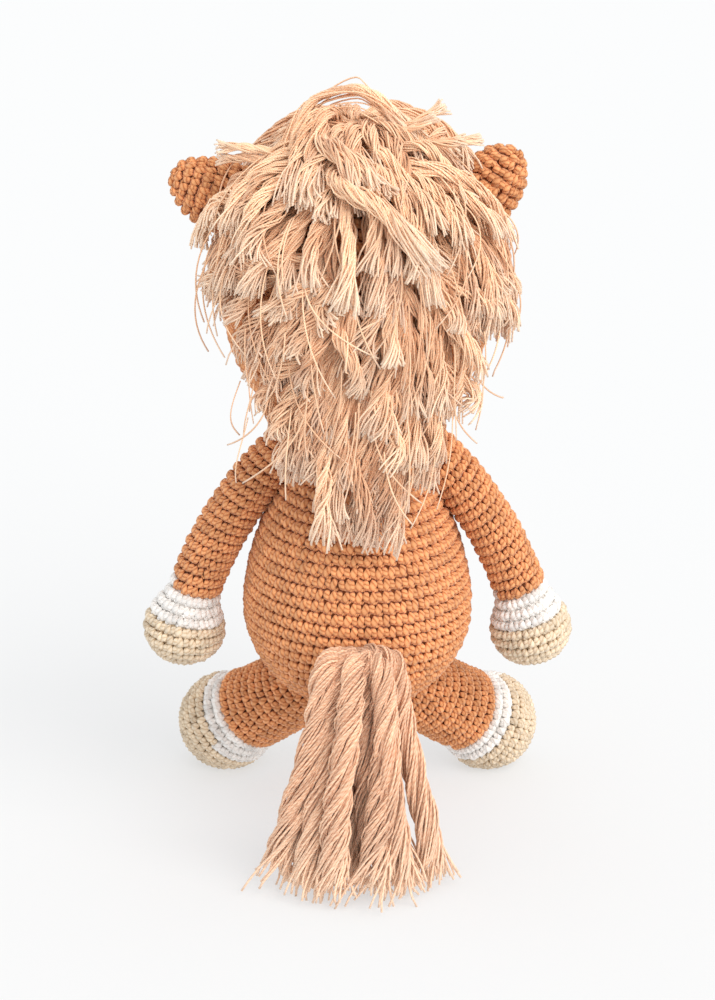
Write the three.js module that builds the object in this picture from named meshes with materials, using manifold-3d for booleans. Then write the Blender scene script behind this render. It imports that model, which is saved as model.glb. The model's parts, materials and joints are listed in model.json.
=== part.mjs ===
// A crocheted toy horse that stands on two feet and its tail, with a mane and tail of cotton yarn.
// Millimetres, +Z up. The horse faces +Y with its right side at +X, and the origin is at the
// bottom centre of its box.

import * as THREE from "three";
import { mergeVertices } from "three/addons/utils/BufferGeometryUtils.js";
import Module from "manifold-3d";

const wasm = await Module();
wasm.setup();

// Fits that every piece shares
const gap = 0.3; // between pieces that are sewn or seated on each other
const jointGap = 0.6; // round a ball end that turns in its hollow
const wall = 3; // thickness of the crocheted cover
const overrun = 8; // how far a cutting solid reaches past what it cuts
const flatDepth = 0.5; // how deep a foot is pressed flat where it stands

// Body: a pear, widest low down, with a flat round neck opening on top
const bodyRadius = 51.5;
const bodyLowerHeight = 48.6; // from the widest round down to the underside
const bodyUpperHeight = 77; // from the widest round up to the neck
const neckRadius = 23;
const bodyTaperPower = 1.8;

// Neck: a firm wad of filling whose round top seats in the head
const neckCoreRadius = 11;
const neckCoreDepth = 22; // how far it reaches down into the body
const headStandOff = 0.8; // from the top of the neck to the underside of the head
const neckPivotRise = 1.6; // of the middle of the neck's round top above the top of the body

// Head: an egg that stands on its end
const headRadius = 59;
const headHalfHeight = 68;

// Muzzle: an egg across the lower front of the head
const muzzleHalfWidth = 37;
const muzzleHalfHeight = 27;
const muzzleHalfDepth = 40;
const muzzleForward = 47; // from the middle of the head to the middle of the muzzle
const muzzleDrop = 22; // below the middle of the head
const nostrilRadius = 3;
const nostrilThickness = 2.4;
const nostrilSpacing = 24;
const nostrilRise = 7; // above the middle of the muzzle

// Eyes: a plastic dome on a post, held inside the cover by a washer
const eyeRadius = 6;
const eyeHeight = 4.6;
const eyePostRadius = 2;
const eyePostLength = 7.5;
const eyeRise = 13; // above the middle of the head
const eyeSpacing = 62;
const washerRadius = 5.4;
const washerThickness = 1.5;
const washerSeat = 1.2; // below the inner face of the cover

// Ears: flattened leaves, the left one leaning out further than the right
const earLength = 47; // with the end that is cut to the head
const earWidth = 32;
const earThickness = 14;
const earRise = 37; // of the ear's root above the middle of the head
const earForward = 9;
const earRootDepths = { left: 12, right: 15 }; // of the uncut root inside the head
const earLeans = { left: 66, right: 40 }; // degrees from upright
const earOutlineShares = [
  // of the ear's width and of its length
  [0, 0],
  [0.7, 0.08],
  [0.95, 0.27],
  [1, 0.45],
  [0.92, 0.64],
  [0.72, 0.81],
  [0.42, 0.94],
  [0, 1],
];

// Arms: they hang in an arc beside the body
const arm = {
  ballRadius: 11.2,
  wristRadius: 11.6,
  footRadius: 18.3,
  endHeight: 17,
  whiteReach: 21, // back from the widest place of the hoof
  hoofReach: 6,
  length: 96, // from the shoulder to the widest place of the hoof
  coverRows: 5,
};
const shoulderDrop = 6; // below the top of the neck
const shoulderStandOff = 7.8; // of the shoulder's middle outside the body
const armBodyGap = 0.3; // between a hanging arm and the body
const handLean = 12; // degrees from upright at the hoof
const shoulderLeanMost = 80; // degrees from upright at the shoulder
const armClearSteps = 70; // places along the arm where its distance from the body is worked out
const leanHalvings = 20;

// Legs: straight, splayed forwards and outwards down to the floor
const leg = {
  ballRadius: 17.5,
  wristRadius: 19.7,
  footRadius: 23.2,
  endHeight: 23.2,
  whiteReach: 17,
  hoofReach: 5,
  length: 62,
  coverRows: 2,
};
const hipAzimuth = 45.6; // degrees from straight ahead to the side
const hipLatitude = 60; // degrees below the widest round of the body
const hipStandOff = 6;
const legAzimuth = 54.8; // degrees from straight ahead to the side
const legDrop = 34; // degrees below level

// Tail: thick cotton cords in two rows, from a short roll sewn to the back of the body
const tailDrop = 4; // of the roll below the widest round of the body
const tailRollRadius = 4.6;
const tailRollLength = 40;
const tailReach = 37; // of the outer row's ends behind the back of the body
const tailFloorWidth = 84;
const tailRows = {
  outer: { count: 6, offset: 2.4, rise: 12, bow: 24, reachShare: 1, widthShare: 1 },
  inner: { count: 4, offset: -2.4, rise: 0, bow: 10, reachShare: 0.6, widthShare: 0.62 },
};
const tailCordRadius = 6.2;
const tailCordRootRadius = 2.3;
const tailCordGap = 0.6;
const tailTuckShare = 0.6; // of its thickness that a cord has where it is tucked to the roll
const tailGrowth = 5; // full thickness is reached after one part in this many of the length
const tailSpreadShare = 0.3; // how far a cord has spread sideways where it bows over
const tailFallShare = 0.45; // of a cord's height where it starts to fall straight
const tailArcShare = 0.6; // of its reach by which the side of the tail would stand nearer

// Mane: flat locks of yarn in three tiers that fall from a parting, and a forelock
const maneThickness = 12.5;
const maneSeat = 1; // of a lock's inner face off the head
const maneLockGap = 2; // degrees between neighbours
const lockRootShare = 0.85; // of its width that a lock has at its root
const lockRootSeatShare = 0.6; // of the seat under the tip of a lock's root
const lockTaperShare = 0.42; // of its length where a lock starts to narrow to its tip
const maneHangShare = 1.22; // where the locks leave the head, in quarters of its outline
const maneHangLean = 5; // degrees that a hanging lock leans in
const topknotShare = 0.21; // how far the tuft on the crown reaches down the head
const topknotEdgeShare = 0.5; // of its thickness at the edge
const maneTiers = {
  crown: {
    azimuths: [15, 45, 75],
    lockWidth: 30,
    startShare: 0.21,
    endShares: [0.92, 1, 1.14],
    liftShares: [
      [0, 0.8],
      [0, 1],
      [0, 1],
      [0.1, 1],
      [0.5, 1.04],
      [0.55, 1],
      [0.6, 0.85],
    ],
  },
  middle: {
    azimuths: [13, 38, 62],
    lockWidth: 25,
    startShare: 0.66,
    endShares: [1.28, 1.4, 1.36],
    liftShares: [
      [0, 0.06],
      [0, 0.28],
      [0, 0.4],
      [0.04, 0.44],
      [0.24, 0.8],
      [0.3, 0.85],
      [0.34, 0.7],
    ],
  },
  nape: {
    azimuths: [12.5, 37],
    lockWidth: 25,
    startShare: 1,
    endShares: [1.98, 1.86],
    liftShares: [
      [0, 0.04],
      [0, 0.14],
      [0, 0.18],
      [0.04, 0.6],
      [0.05, 0.7],
      [0.06, 0.65],
      [0.1, 0.5],
    ],
  },
  forelock: {
    azimuths: [180],
    lockWidth: 52,
    startShare: 0.22,
    endShares: [0.62],
    liftShares: [
      [0, 0.5],
      [0, 0.85],
      [0, 0.9],
      [0, 0.85],
      [0, 0.8],
      [0, 0.65],
      [0, 0.5],
    ],
  },
};

// How finely the round surfaces are cut into facets
const skinRows = 8; // on the body, below its widest round and above it
const insideRows = 6;
const limbRows = { start: 3, band: 2, hoof: 1, end: 4 };
const neckRows = { under: 3, over: 4 };
const topknotRows = { under: 2, over: 4 };
const domeRows = 4;
const rollEndRows = 3;
const bodySegments = 24; // round the body and the head
const hollowSegments = 16; // round the ball-shaped hollows, the neck core and the topknot
const eggRowShare = 0.55; // rows for each segment round
const muzzleSegments = 20;
const limbSegments = 12;
const armCutRows = 5;
const smallSegments = 14; // round the eyes, washers and nostrils
const lockSides = 10;
const cordSides = 8;
const cordSteps = 9;

// Colours and finishes
const finishes = {
  caramel: { color: "#cf8f55", roughness: 0.95, metalness: 0 },
  white: { color: "#ece9e2", roughness: 0.95, metalness: 0 },
  beige: { color: "#cfbd9f", roughness: 0.95, metalness: 0 },
  yarn: { color: "#e6bd97", roughness: 0.9, metalness: 0 },
  filling: { color: "#f4f2ec", roughness: 1, metalness: 0 },
  black: { color: "#15120f", roughness: 0.15, metalness: 0 },
  washer: { color: "#d8d8d4", roughness: 0.5, metalness: 0 },
  thread: { color: "#3a2a20", roughness: 0.9, metalness: 0 },
};

const radians = THREE.MathUtils.degToRad;
const { lerp } = THREE.MathUtils;
const sides = { left: -1, right: 1 };

// Solids and meshes

function solidOf(geometry) {
  const flat = geometry.index ? geometry.toNonIndexed() : geometry;
  const bare = new THREE.BufferGeometry().setAttribute("position", flat.getAttribute("position"));
  const merged = mergeVertices(bare);
  const index = merged.index.array;
  const triVerts = [];
  for (let i = 0; i < index.length; i += 3) {
    const [a, b, c] = index.slice(i, i + 3);
    if (a !== b && b !== c && c !== a) triVerts.push(a, b, c);
  }
  return new wasm.Manifold(
    new wasm.Mesh({
      numProp: 3,
      vertProperties: merged.attributes.position.array,
      triVerts: new Uint32Array(triVerts),
    }),
  );
}

function geometryOf(solid) {
  const mesh = solid.getMesh();
  const geometry = new THREE.BufferGeometry();
  geometry.setAttribute("position", new THREE.BufferAttribute(mesh.vertProperties, mesh.numProp));
  geometry.setIndex(new THREE.BufferAttribute(mesh.triVerts, 1));
  geometry.computeVertexNormals();
  return geometry;
}

function piece(name, solid, finish, parent) {
  const mesh = new THREE.Mesh(geometryOf(solid), new THREE.MeshStandardMaterial(finishes[finish]));
  mesh.name = name;
  parent.add(mesh);
}

function group(parent, position, direction = new THREE.Vector3(0, 0, 1)) {
  const made = new THREE.Group();
  made.position.copy(position);
  made.quaternion.setFromUnitVectors(new THREE.Vector3(0, 0, 1), direction);
  parent.add(made);
  return made;
}

function listOf(count, make) {
  return Array.from({ length: count }, (_, k) => make(k));
}

// A profile of (radius, height) points turned about Z.
function turned(points, segments) {
  const geometry = new THREE.LatheGeometry(points, segments);
  geometry.rotateX(radians(90));
  return geometry;
}

function egg(radiusX, radiusY, radiusZ, segments) {
  const geometry = new THREE.SphereGeometry(1, segments, Math.round(segments * eggRowShare));
  geometry.rotateX(radians(90));
  geometry.scale(radiusX, radiusY, radiusZ);
  return geometry;
}

function ball(radius) {
  return egg(radius, radius, radius, hollowSegments);
}

function moved(geometry, position, direction = new THREE.Vector3(0, 0, 1)) {
  const turn = new THREE.Quaternion().setFromUnitVectors(new THREE.Vector3(0, 0, 1), direction);
  const place = new THREE.Matrix4().compose(position, turn, new THREE.Vector3(1, 1, 1));
  return geometry.clone().applyMatrix4(place);
}

// A skin over rings of points, closed at both ends by a fan to one point.
function lofted(rings, startPoint, endPoint) {
  const points = [startPoint, ...rings.flat(), endPoint];
  const count = rings[0].length;
  const last = points.length - 1;
  const triangles = [];
  for (let k = 0; k < count; k += 1) {
    const next = (k + 1) % count;
    triangles.push(0, 1 + next, 1 + k);
    for (let row = 0; row < rings.length - 1; row += 1) {
      const near = 1 + row * count;
      const far = near + count;
      triangles.push(near + k, near + next, far + next);
      triangles.push(near + k, far + next, far + k);
    }
    const rim = 1 + (rings.length - 1) * count;
    triangles.push(rim + k, rim + next, last);
  }
  const geometry = new THREE.BufferGeometry().setFromPoints(points);
  geometry.setIndex(triangles);
  return geometry;
}

// Body

function bodyRadiusAt(height, inset = 0) {
  const wide = bodyRadius - inset;
  if (height < 0) {
    const share = Math.min(1, -height / (bodyLowerHeight - inset));
    return wide * Math.sqrt(1 - share * share);
  }
  const share = Math.min(1, height / bodyUpperHeight);
  return wide - (bodyRadius - neckRadius) * share ** bodyTaperPower;
}

// From the underside up to the rim of the flat top.
function bodyProfile(inset, rows) {
  const below = listOf(rows, (k) => {
    const angle = (radians(90) * (rows - k)) / rows;
    const height = -(bodyLowerHeight - inset) * Math.sin(angle);
    const out = k === 0 ? 0 : (bodyRadius - inset) * Math.cos(angle);
    return new THREE.Vector2(out, height);
  });
  const above = listOf(rows + 1, (k) => {
    const height = ((bodyUpperHeight - inset) * k) / rows;
    return new THREE.Vector2(bodyRadiusAt(height, inset), height);
  });
  return [...below, ...above];
}

function bodySolid(inset, rows) {
  const top = new THREE.Vector2(0, bodyUpperHeight - inset);
  return solidOf(turned([...bodyProfile(inset, rows), top], bodySegments));
}

function hipPlace(side) {
  const latitude = radians(hipLatitude);
  const outward = Math.cos(latitude) / bodyRadius;
  const downward = Math.sin(latitude) / bodyLowerHeight;
  const standOff = new THREE.Vector2(outward, downward).setLength(hipStandOff);
  const out = bodyRadius * Math.cos(latitude) + standOff.x;
  const down = bodyLowerHeight * Math.sin(latitude) + standOff.y;
  const azimuth = radians(hipAzimuth);
  return new THREE.Vector3(side * out * Math.sin(azimuth), out * Math.cos(azimuth), -down);
}

function legDirection(side) {
  const level = Math.cos(radians(legDrop));
  const azimuth = radians(legAzimuth);
  return new THREE.Vector3(
    side * level * Math.sin(azimuth),
    level * Math.cos(azimuth),
    -Math.sin(radians(legDrop)),
  );
}

const shoulderHeight = bodyUpperHeight - shoulderDrop;

function shoulderPlace(side) {
  const out = bodyRadiusAt(shoulderHeight) + shoulderStandOff;
  return new THREE.Vector3(side * out, 0, shoulderHeight);
}

// The round hollows in the underside that the legs' ball ends turn in.
function hipHollows(extra) {
  const hollow = ball(leg.ballRadius + jointGap + extra);
  return Object.values(sides).map((side) => solidOf(moved(hollow, hipPlace(side))));
}

function without(solid, cutters) {
  return cutters.reduce((left, cutter) => left.subtract(cutter), solid);
}

// A wad with a round foot and a round top, whose middle is the neck's pivot.
function neckCoreSolid(extra) {
  const radius = neckCoreRadius + extra;
  const foot = listOf(neckRows.under + 1, (k) => {
    const angle = (radians(90) * k) / neckRows.under;
    const height = neckCoreRadius - neckCoreDepth - radius * Math.cos(angle);
    return new THREE.Vector2(radius * Math.sin(angle), height);
  });
  const top = listOf(neckRows.over + 1, (k) => {
    const angle = (radians(90) * k) / neckRows.over;
    const out = k === neckRows.over ? 0 : radius * Math.cos(angle);
    return new THREE.Vector2(out, radius * Math.sin(angle));
  });
  return solidOf(turned([...foot, ...top], hollowSegments));
}

const neckPivot = new THREE.Vector3(0, 0, bodyUpperHeight + neckPivotRise);

function placedNeckCore(extra, from = new THREE.Vector3()) {
  const offset = neckPivot.clone().sub(from);
  return neckCoreSolid(extra).translate([offset.x, offset.y, offset.z]);
}

function addBody(parent) {
  const hollowInside = without(bodySolid(wall, insideRows), hipHollows(wall));
  const skin = without(bodySolid(0, skinRows), hipHollows(0));
  piece("body_cover", without(skin, [hollowInside, placedNeckCore(gap)]), "caramel", parent);
  const filling = without(bodySolid(wall + gap, insideRows), [
    ...hipHollows(wall + gap),
    placedNeckCore(gap),
  ]);
  piece("body_filling", filling, "filling", parent);
  piece("neck_core", placedNeckCore(0), "filling", parent);
}

// Limbs

function limbRadiusAt(limb, along, inset) {
  const whiteStart = limb.length - limb.whiteReach;
  if (along < whiteStart) {
    return lerp(limb.ballRadius, limb.wristRadius, along / whiteStart) - inset;
  }
  const share = (along - whiteStart) / limb.whiteReach;
  return lerp(limb.wristRadius, limb.footRadius, (1 - Math.cos(radians(180) * share)) / 2) - inset;
}

function startCap(limb, inset) {
  const radius = limb.ballRadius - inset;
  return listOf(limbRows.start, (k) => {
    const angle = (radians(90) * k) / limbRows.start;
    return new THREE.Vector2(radius * Math.sin(angle), -radius * Math.cos(angle));
  });
}

function endCap(limb, inset) {
  return listOf(limbRows.end + 1, (k) => {
    const angle = (radians(90) * k) / limbRows.end;
    const out = k === limbRows.end ? 0 : (limb.footRadius - inset) * Math.cos(angle);
    return new THREE.Vector2(out, limb.length + (limb.endHeight - inset) * Math.sin(angle));
  });
}

function stretch(limb, inset, from, to, rows) {
  return listOf(rows + 1, (k) => {
    const along = lerp(from, to, k / rows);
    return new THREE.Vector2(limbRadiusAt(limb, along, inset), along);
  });
}

// The outlines of a limb's pieces: three lengths of the cover and the filling inside them all.
function limbSections(limb) {
  const whiteStart = limb.length - limb.whiteReach;
  const hoofStart = limb.length - limb.hoofReach;
  const coverOf = (inset) => [
    ...startCap(limb, inset),
    ...stretch(limb, inset, 0, whiteStart, limb.coverRows),
  ];
  const bandOf = (inset) =>
    stretch(limb, inset, whiteStart + gap, hoofStart - gap, limbRows.band);
  const hoofOf = (inset) => [
    ...stretch(limb, inset, hoofStart, limb.length, limbRows.hoof).slice(0, -1),
    ...endCap(limb, inset),
  ];
  const rimToRim = (outlineOf) => {
    const outer = outlineOf(0);
    return [...outer, ...outlineOf(wall).reverse(), outer[0]];
  };
  const inside = wall + gap;
  return {
    cover: [...coverOf(0), ...coverOf(wall).reverse()],
    band: rimToRim(bandOf),
    hoof: rimToRim(hoofOf),
    filling: [...coverOf(inside), ...bandOf(inside), ...hoofOf(inside)],
  };
}

const sectionFinish = { cover: "caramel", band: "white", hoof: "beige", filling: "filling" };

function addLimb(name, limb, parent, shape) {
  for (const [section, profile] of Object.entries(limbSections(limb))) {
    const solid = shape(turned(profile, limbSegments), section);
    piece(`${name}_${section}`, solid, sectionFinish[section], parent);
  }
}

// An arm's middle line is an arc in the XZ plane, leaning out less and less towards the hoof.
function armFrame(side, shoulderLean, along) {
  const start = radians(shoulderLean);
  const turn = (radians(handLean) - start) / arm.length;
  const inside = THREE.MathUtils.clamp(along, 0, arm.length);
  const lean = start + turn * inside;
  const beyond = along - inside;
  const out = (Math.cos(start) - Math.cos(lean)) / turn + beyond * Math.sin(lean);
  const down = (Math.sin(lean) - Math.sin(start)) / turn + beyond * Math.cos(lean);
  return { lean, point: new THREE.Vector3(side * out, 0, -down) };
}

// The smallest lean at the shoulder that keeps the arm clear of the body, found by halving.
function findShoulderLean() {
  const clears = (lean) => {
    const shoulder = shoulderPlace(sides.right);
    for (let k = 0; k <= armClearSteps; k += 1) {
      const along = lerp(2 * arm.ballRadius, arm.length, k / armClearSteps);
      const frame = armFrame(sides.right, lean, along);
      const reach = limbRadiusAt(arm, along, 0) + armBodyGap;
      const inX = shoulder.x + frame.point.x - reach * Math.cos(frame.lean);
      const inZ = shoulder.z + frame.point.z - reach * Math.sin(frame.lean);
      if (inX < bodyRadiusAt(inZ)) return false;
    }
    return true;
  };
  let low = handLean + 1;
  let high = shoulderLeanMost;
  for (let k = 0; k < leanHalvings; k += 1) {
    const middle = (low + high) / 2;
    if (clears(middle)) high = middle;
    else low = middle;
  }
  return high;
}

const shoulderLean = findShoulderLean();

function bentLikeArm(geometry, side) {
  const places = geometry.getAttribute("position");
  for (let k = 0; k < places.count; k += 1) {
    const { lean, point } = armFrame(side, shoulderLean, places.getZ(k));
    const across = places.getX(k);
    places.setXYZ(
      k,
      point.x - across * Math.cos(lean),
      places.getY(k),
      point.z - across * side * Math.sin(lean),
    );
  }
  return geometry;
}

// The room that the body needs beside a swinging arm: its outline below the shoulder turned
// about the shoulder's axis, which the open end of the arm is cut to.
function bodyBesideArm(side) {
  const { x: shoulderOut } = shoulderPlace(sides.right);
  const reach = arm.length + overrun;
  const points = [new THREE.Vector2(0, -shoulderOut), new THREE.Vector2(reach, -shoulderOut)];
  for (let k = armCutRows; k >= 0; k -= 1) {
    const from = k === armCutRows ? reach : (shoulderHeight * k) / armCutRows;
    const height = Math.max(0, shoulderHeight - from);
    points.push(new THREE.Vector2(from, bodyRadiusAt(height) + gap - shoulderOut));
  }
  const room = turned(points, hollowSegments);
  room.rotateY(radians(90) * side);
  return solidOf(room);
}

function addArms(parent) {
  for (const [sideName, side] of Object.entries(sides)) {
    const shoulder = group(parent, shoulderPlace(side));
    const room = bodyBesideArm(side);
    addLimb(`arm_${sideName}`, arm, shoulder, (geometry) =>
      solidOf(bentLikeArm(geometry, side)).subtract(room),
    );
  }
}

// Turns a leg's piece about its middle line until the middle of a facet faces the floor.
function facingFloor(geometry, side) {
  const { x, y } = legDirection(side);
  return geometry.rotateZ(Math.atan2(x, -y) - radians(180) / limbSegments);
}

// The height of the body's widest round above the floor, with both feet pressed flat on it.
function standingHeight() {
  const side = sides.right;
  const hoof = facingFloor(turned(limbSections(leg).hoof, limbSegments), side);
  const placed = moved(hoof, hipPlace(side), legDirection(side));
  placed.computeBoundingBox();
  return -placed.boundingBox.min.z - flatDepth;
}

const bodyHeight = standingHeight();

function addLegs(parent) {
  for (const [sideName, side] of Object.entries(sides)) {
    const hip = group(parent, hipPlace(side), legDirection(side));
    const depth = leg.footRadius + overrun;
    const floor = new THREE.BoxGeometry(2 * depth, 2 * depth, depth);
    const foot = hipPlace(side).addScaledVector(legDirection(side), leg.length);
    floor.translate(foot.x, foot.y, -bodyHeight - depth / 2);
    hip.updateMatrix();
    floor.applyMatrix4(hip.matrix.clone().invert());
    const cutter = solidOf(floor);
    addLimb(`leg_${sideName}`, leg, hip, (geometry, section) => {
      const solid = solidOf(facingFloor(geometry, side));
      return section === "hoof" ? solid.subtract(cutter) : solid;
    });
  }
}

// Head

const headHeight = bodyUpperHeight + headStandOff + headHalfHeight;
const headCentre = new THREE.Vector3(0, 0, headHeight);

function headSolid(inset) {
  const radius = headRadius - inset;
  return solidOf(egg(radius, radius, headHalfHeight - inset, bodySegments));
}

function eyeFrame(side) {
  const share = eyeRise / headHalfHeight;
  const radius = headRadius * Math.sqrt(1 - share * share);
  const x = (side * eyeSpacing) / 2;
  const point = new THREE.Vector3(x, Math.sqrt(radius * radius - x * x), eyeRise);
  const normal = new THREE.Vector3(point.x, point.y, point.z * (headRadius / headHalfHeight) ** 2);
  return { point, normal: normal.normalize() };
}

function post(radius, from, to) {
  const points = [
    new THREE.Vector2(0, from),
    new THREE.Vector2(radius, from),
    new THREE.Vector2(radius, to),
    new THREE.Vector2(0, to),
  ];
  return turned(points, smallSegments);
}

function eyeSolid() {
  const points = [
    new THREE.Vector2(0, -eyePostLength),
    new THREE.Vector2(eyePostRadius, -eyePostLength),
    new THREE.Vector2(eyePostRadius, gap),
    new THREE.Vector2(eyeRadius, gap),
  ];
  for (let k = 1; k <= domeRows; k += 1) {
    const angle = (radians(90) * k) / domeRows;
    const out = k === domeRows ? 0 : eyeRadius * Math.cos(angle);
    points.push(new THREE.Vector2(out, gap + eyeHeight * Math.sin(angle)));
  }
  return solidOf(turned(points, smallSegments));
}

const washerTop = -wall - washerSeat;

function washerSolid() {
  const inner = eyePostRadius + gap;
  const bottom = washerTop - washerThickness;
  const ring = [
    new THREE.Vector2(inner, bottom),
    new THREE.Vector2(washerRadius, bottom),
    new THREE.Vector2(washerRadius, washerTop),
    new THREE.Vector2(inner, washerTop),
    new THREE.Vector2(inner, bottom),
  ];
  return solidOf(turned(ring, smallSegments));
}

const muzzleCentre = new THREE.Vector3(0, muzzleForward, -muzzleDrop);

function muzzleSolid(inset) {
  const geometry = egg(
    muzzleHalfWidth - inset,
    muzzleHalfDepth - inset,
    muzzleHalfHeight - inset,
    muzzleSegments,
  );
  return solidOf(moved(geometry, muzzleCentre));
}

function addMuzzle(parent) {
  const head = headSolid(-gap);
  piece("muzzle_cover", without(muzzleSolid(0), [muzzleSolid(wall), head]), "beige", parent);
  piece("muzzle_filling", muzzleSolid(wall + gap).subtract(head), "filling", parent);
  for (const [sideName, side] of Object.entries(sides)) {
    const x = (side * nostrilSpacing) / 2;
    const round = Math.hypot(x / muzzleHalfWidth, nostrilRise / muzzleHalfHeight);
    const forward = muzzleHalfDepth * Math.sqrt(1 - round * round);
    const normal = new THREE.Vector3(
      x / muzzleHalfWidth ** 2,
      forward / muzzleHalfDepth ** 2,
      nostrilRise / muzzleHalfHeight ** 2,
    ).normalize();
    const place = muzzleCentre.clone().add(new THREE.Vector3(x, forward, nostrilRise));
    const button = egg(nostrilRadius, nostrilRadius, nostrilThickness, smallSegments);
    const nostril = solidOf(moved(button, place, normal));
    piece(`nostril_${sideName}`, nostril.subtract(muzzleSolid(-gap)), "thread", parent);
  }
}

// An ear is a leaf along Z, cut off where it meets the head.
function earSolid(side, lean, rootDepth) {
  const profile = earOutlineShares.map(
    ([widthShare, lengthShare]) =>
      new THREE.Vector2((widthShare * earWidth) / 2, lengthShare * earLength),
  );
  const leaf = turned(profile, limbSegments);
  leaf.scale(1, earThickness / earWidth, 1);
  const upright = earRise / headHalfHeight;
  const surface = headRadius * Math.sqrt(1 - upright * upright);
  const direction = new THREE.Vector3(side * Math.sin(radians(lean)), 0, Math.cos(radians(lean)));
  const root = new THREE.Vector3(side * surface, earForward, earRise);
  root.addScaledVector(direction, -rootDepth);
  return solidOf(moved(leaf, root, direction));
}

function addHead(parent) {
  const head = group(parent, headCentre);
  const core = placedNeckCore(gap, headCentre);
  const postHoles = Object.values(sides).map((side) => {
    const { point, normal } = eyeFrame(side);
    const hole = post(eyePostRadius + gap, -wall - overrun, overrun);
    return solidOf(moved(hole, point, normal));
  });
  const pockets = Object.values(sides).map((side) => {
    const { point, normal } = eyeFrame(side);
    const pocket = post(washerRadius + gap, -eyePostLength - gap, overrun);
    return solidOf(moved(pocket, point, normal));
  });
  const cover = without(headSolid(0), [headSolid(wall), core, ...postHoles]);
  piece("head_cover", cover, "caramel", head);
  piece("head_filling", without(headSolid(wall + gap), [core, ...pockets]), "filling", head);
  addMuzzle(head);
  for (const [sideName, side] of Object.entries(sides)) {
    const { point, normal } = eyeFrame(side);
    const socket = group(head, point, normal);
    piece(`eye_${sideName}`, eyeSolid(), "black", socket);
    piece(`eye_washer_${sideName}`, washerSolid(), "washer", socket);
    const ear = earSolid(side, earLeans[sideName], earRootDepths[sideName]);
    piece(`ear_${sideName}`, ear.subtract(headSolid(-gap)), "caramel", head);
  }
  addMane(head);
}

// Mane

// A place over the head: azimuth in degrees from straight behind, share in quarters of the
// head's outline from the crown down, lift off its surface. Past the hang it falls straight.
function manePlace(azimuth, share, lift) {
  const held = Math.min(share, maneHangShare);
  const angle = radians(90) * held;
  const normal = new THREE.Vector2(Math.sin(angle) / headRadius, Math.cos(angle) / headHalfHeight);
  normal.normalize();
  const quarter = (radians(90) * (headRadius + headHalfHeight)) / 2;
  const fall = (share - held) * quarter;
  const lean = radians(maneHangLean);
  const out = headRadius * Math.sin(angle) + lift * normal.x - fall * Math.sin(lean);
  const up = headHalfHeight * Math.cos(angle) + lift * normal.y - fall * Math.cos(lean);
  const around = radians(azimuth);
  return new THREE.Vector3(out * Math.sin(around), -out * Math.cos(around), up);
}

// A tuft on the crown that the first locks start round.
function topknotSolid() {
  const under = listOf(topknotRows.under + 1, (k) =>
    manePlace(0, (topknotShare * k) / topknotRows.under, maneSeat),
  );
  const over = listOf(topknotRows.over + 1, (k) => {
    const angle = (radians(90) * k) / topknotRows.over;
    const thickness = maneThickness * lerp(topknotEdgeShare, 1, Math.sin(angle));
    return manePlace(0, topknotShare * Math.cos(angle), maneSeat + thickness);
  });
  const profile = [...under, ...over.slice(1)].map(({ y, z }) => new THREE.Vector2(-y, z));
  profile[0].x = 0;
  profile[profile.length - 1].x = 0;
  return solidOf(turned(profile, hollowSegments));
}

function lockSolid(side, azimuth, tier, endShare) {
  const rows = tier.liftShares.length;
  const swell = (k) => (k === 0 ? lockRootShare : 1);
  const taper = (k) => Math.sqrt(Math.min(1, (rows - k) / rows / lockTaperShare));
  const rings = tier.liftShares.map(([innerShare, outerShare], k) => {
    const share = lerp(tier.startShare, endShare, (k + 0.5) / rows);
    const inner = maneSeat + innerShare * maneThickness;
    const outer = maneSeat + Math.max(outerShare, innerShare) * maneThickness;
    const halfWidth = ((tier.lockWidth - maneLockGap) / 2) * swell(k) * taper(k);
    return listOf(lockSides, (corner) => {
      const turn = (radians(360) * corner) / lockSides;
      const place = side * azimuth + halfWidth * Math.cos(turn);
      const lift = lerp(inner, outer, (1 + Math.sin(turn)) / 2);
      return manePlace(place, share, lift);
    });
  });
  const [startInner] = tier.liftShares[0];
  const [endInner, endOuter] = tier.liftShares[rows - 1];
  const rootLift = maneSeat * lockRootSeatShare + startInner * maneThickness;
  const root = manePlace(side * azimuth, tier.startShare, rootLift);
  const tipLift = maneSeat + ((endInner + endOuter) / 2) * maneThickness;
  const tip = manePlace(side * azimuth, endShare, tipLift);
  return solidOf(lofted(rings, root, tip));
}

function addMane(parent) {
  piece("mane_topknot", topknotSolid(), "yarn", parent);
  const { forelock, ...fallingTiers } = maneTiers;
  const [azimuth] = forelock.azimuths;
  const [endShare] = forelock.endShares;
  piece("mane_forelock", lockSolid(sides.right, azimuth, forelock, endShare), "yarn", parent);
  for (const [tierName, tier] of Object.entries(fallingTiers)) {
    for (const [sideName, side] of Object.entries(sides)) {
      tier.azimuths.forEach((place, k) => {
        const lock = lockSolid(side, place, tier, tier.endShares[k]);
        piece(`mane_${tierName}_${sideName}_${k + 1}`, lock, "yarn", parent);
      });
    }
  }
}

// Tail

const tailRoot = new THREE.Vector3(0, -(bodyRadiusAt(-tailDrop) + gap + tailRollRadius), -tailDrop);

function tailRollSolid() {
  const half = tailRollLength / 2;
  const straight = half - tailRollRadius;
  const points = listOf(rollEndRows + 1, (k) => {
    const angle = (radians(90) * k) / rollEndRows;
    const out = tailRollRadius * Math.sin(angle);
    return new THREE.Vector2(out, -straight - tailRollRadius * Math.cos(angle));
  });
  const other = points.map(({ x, y }) => new THREE.Vector2(x, -y)).reverse();
  const geometry = turned([...points, ...other], limbSegments);
  geometry.rotateY(radians(90));
  return solidOf(geometry);
}

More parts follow.
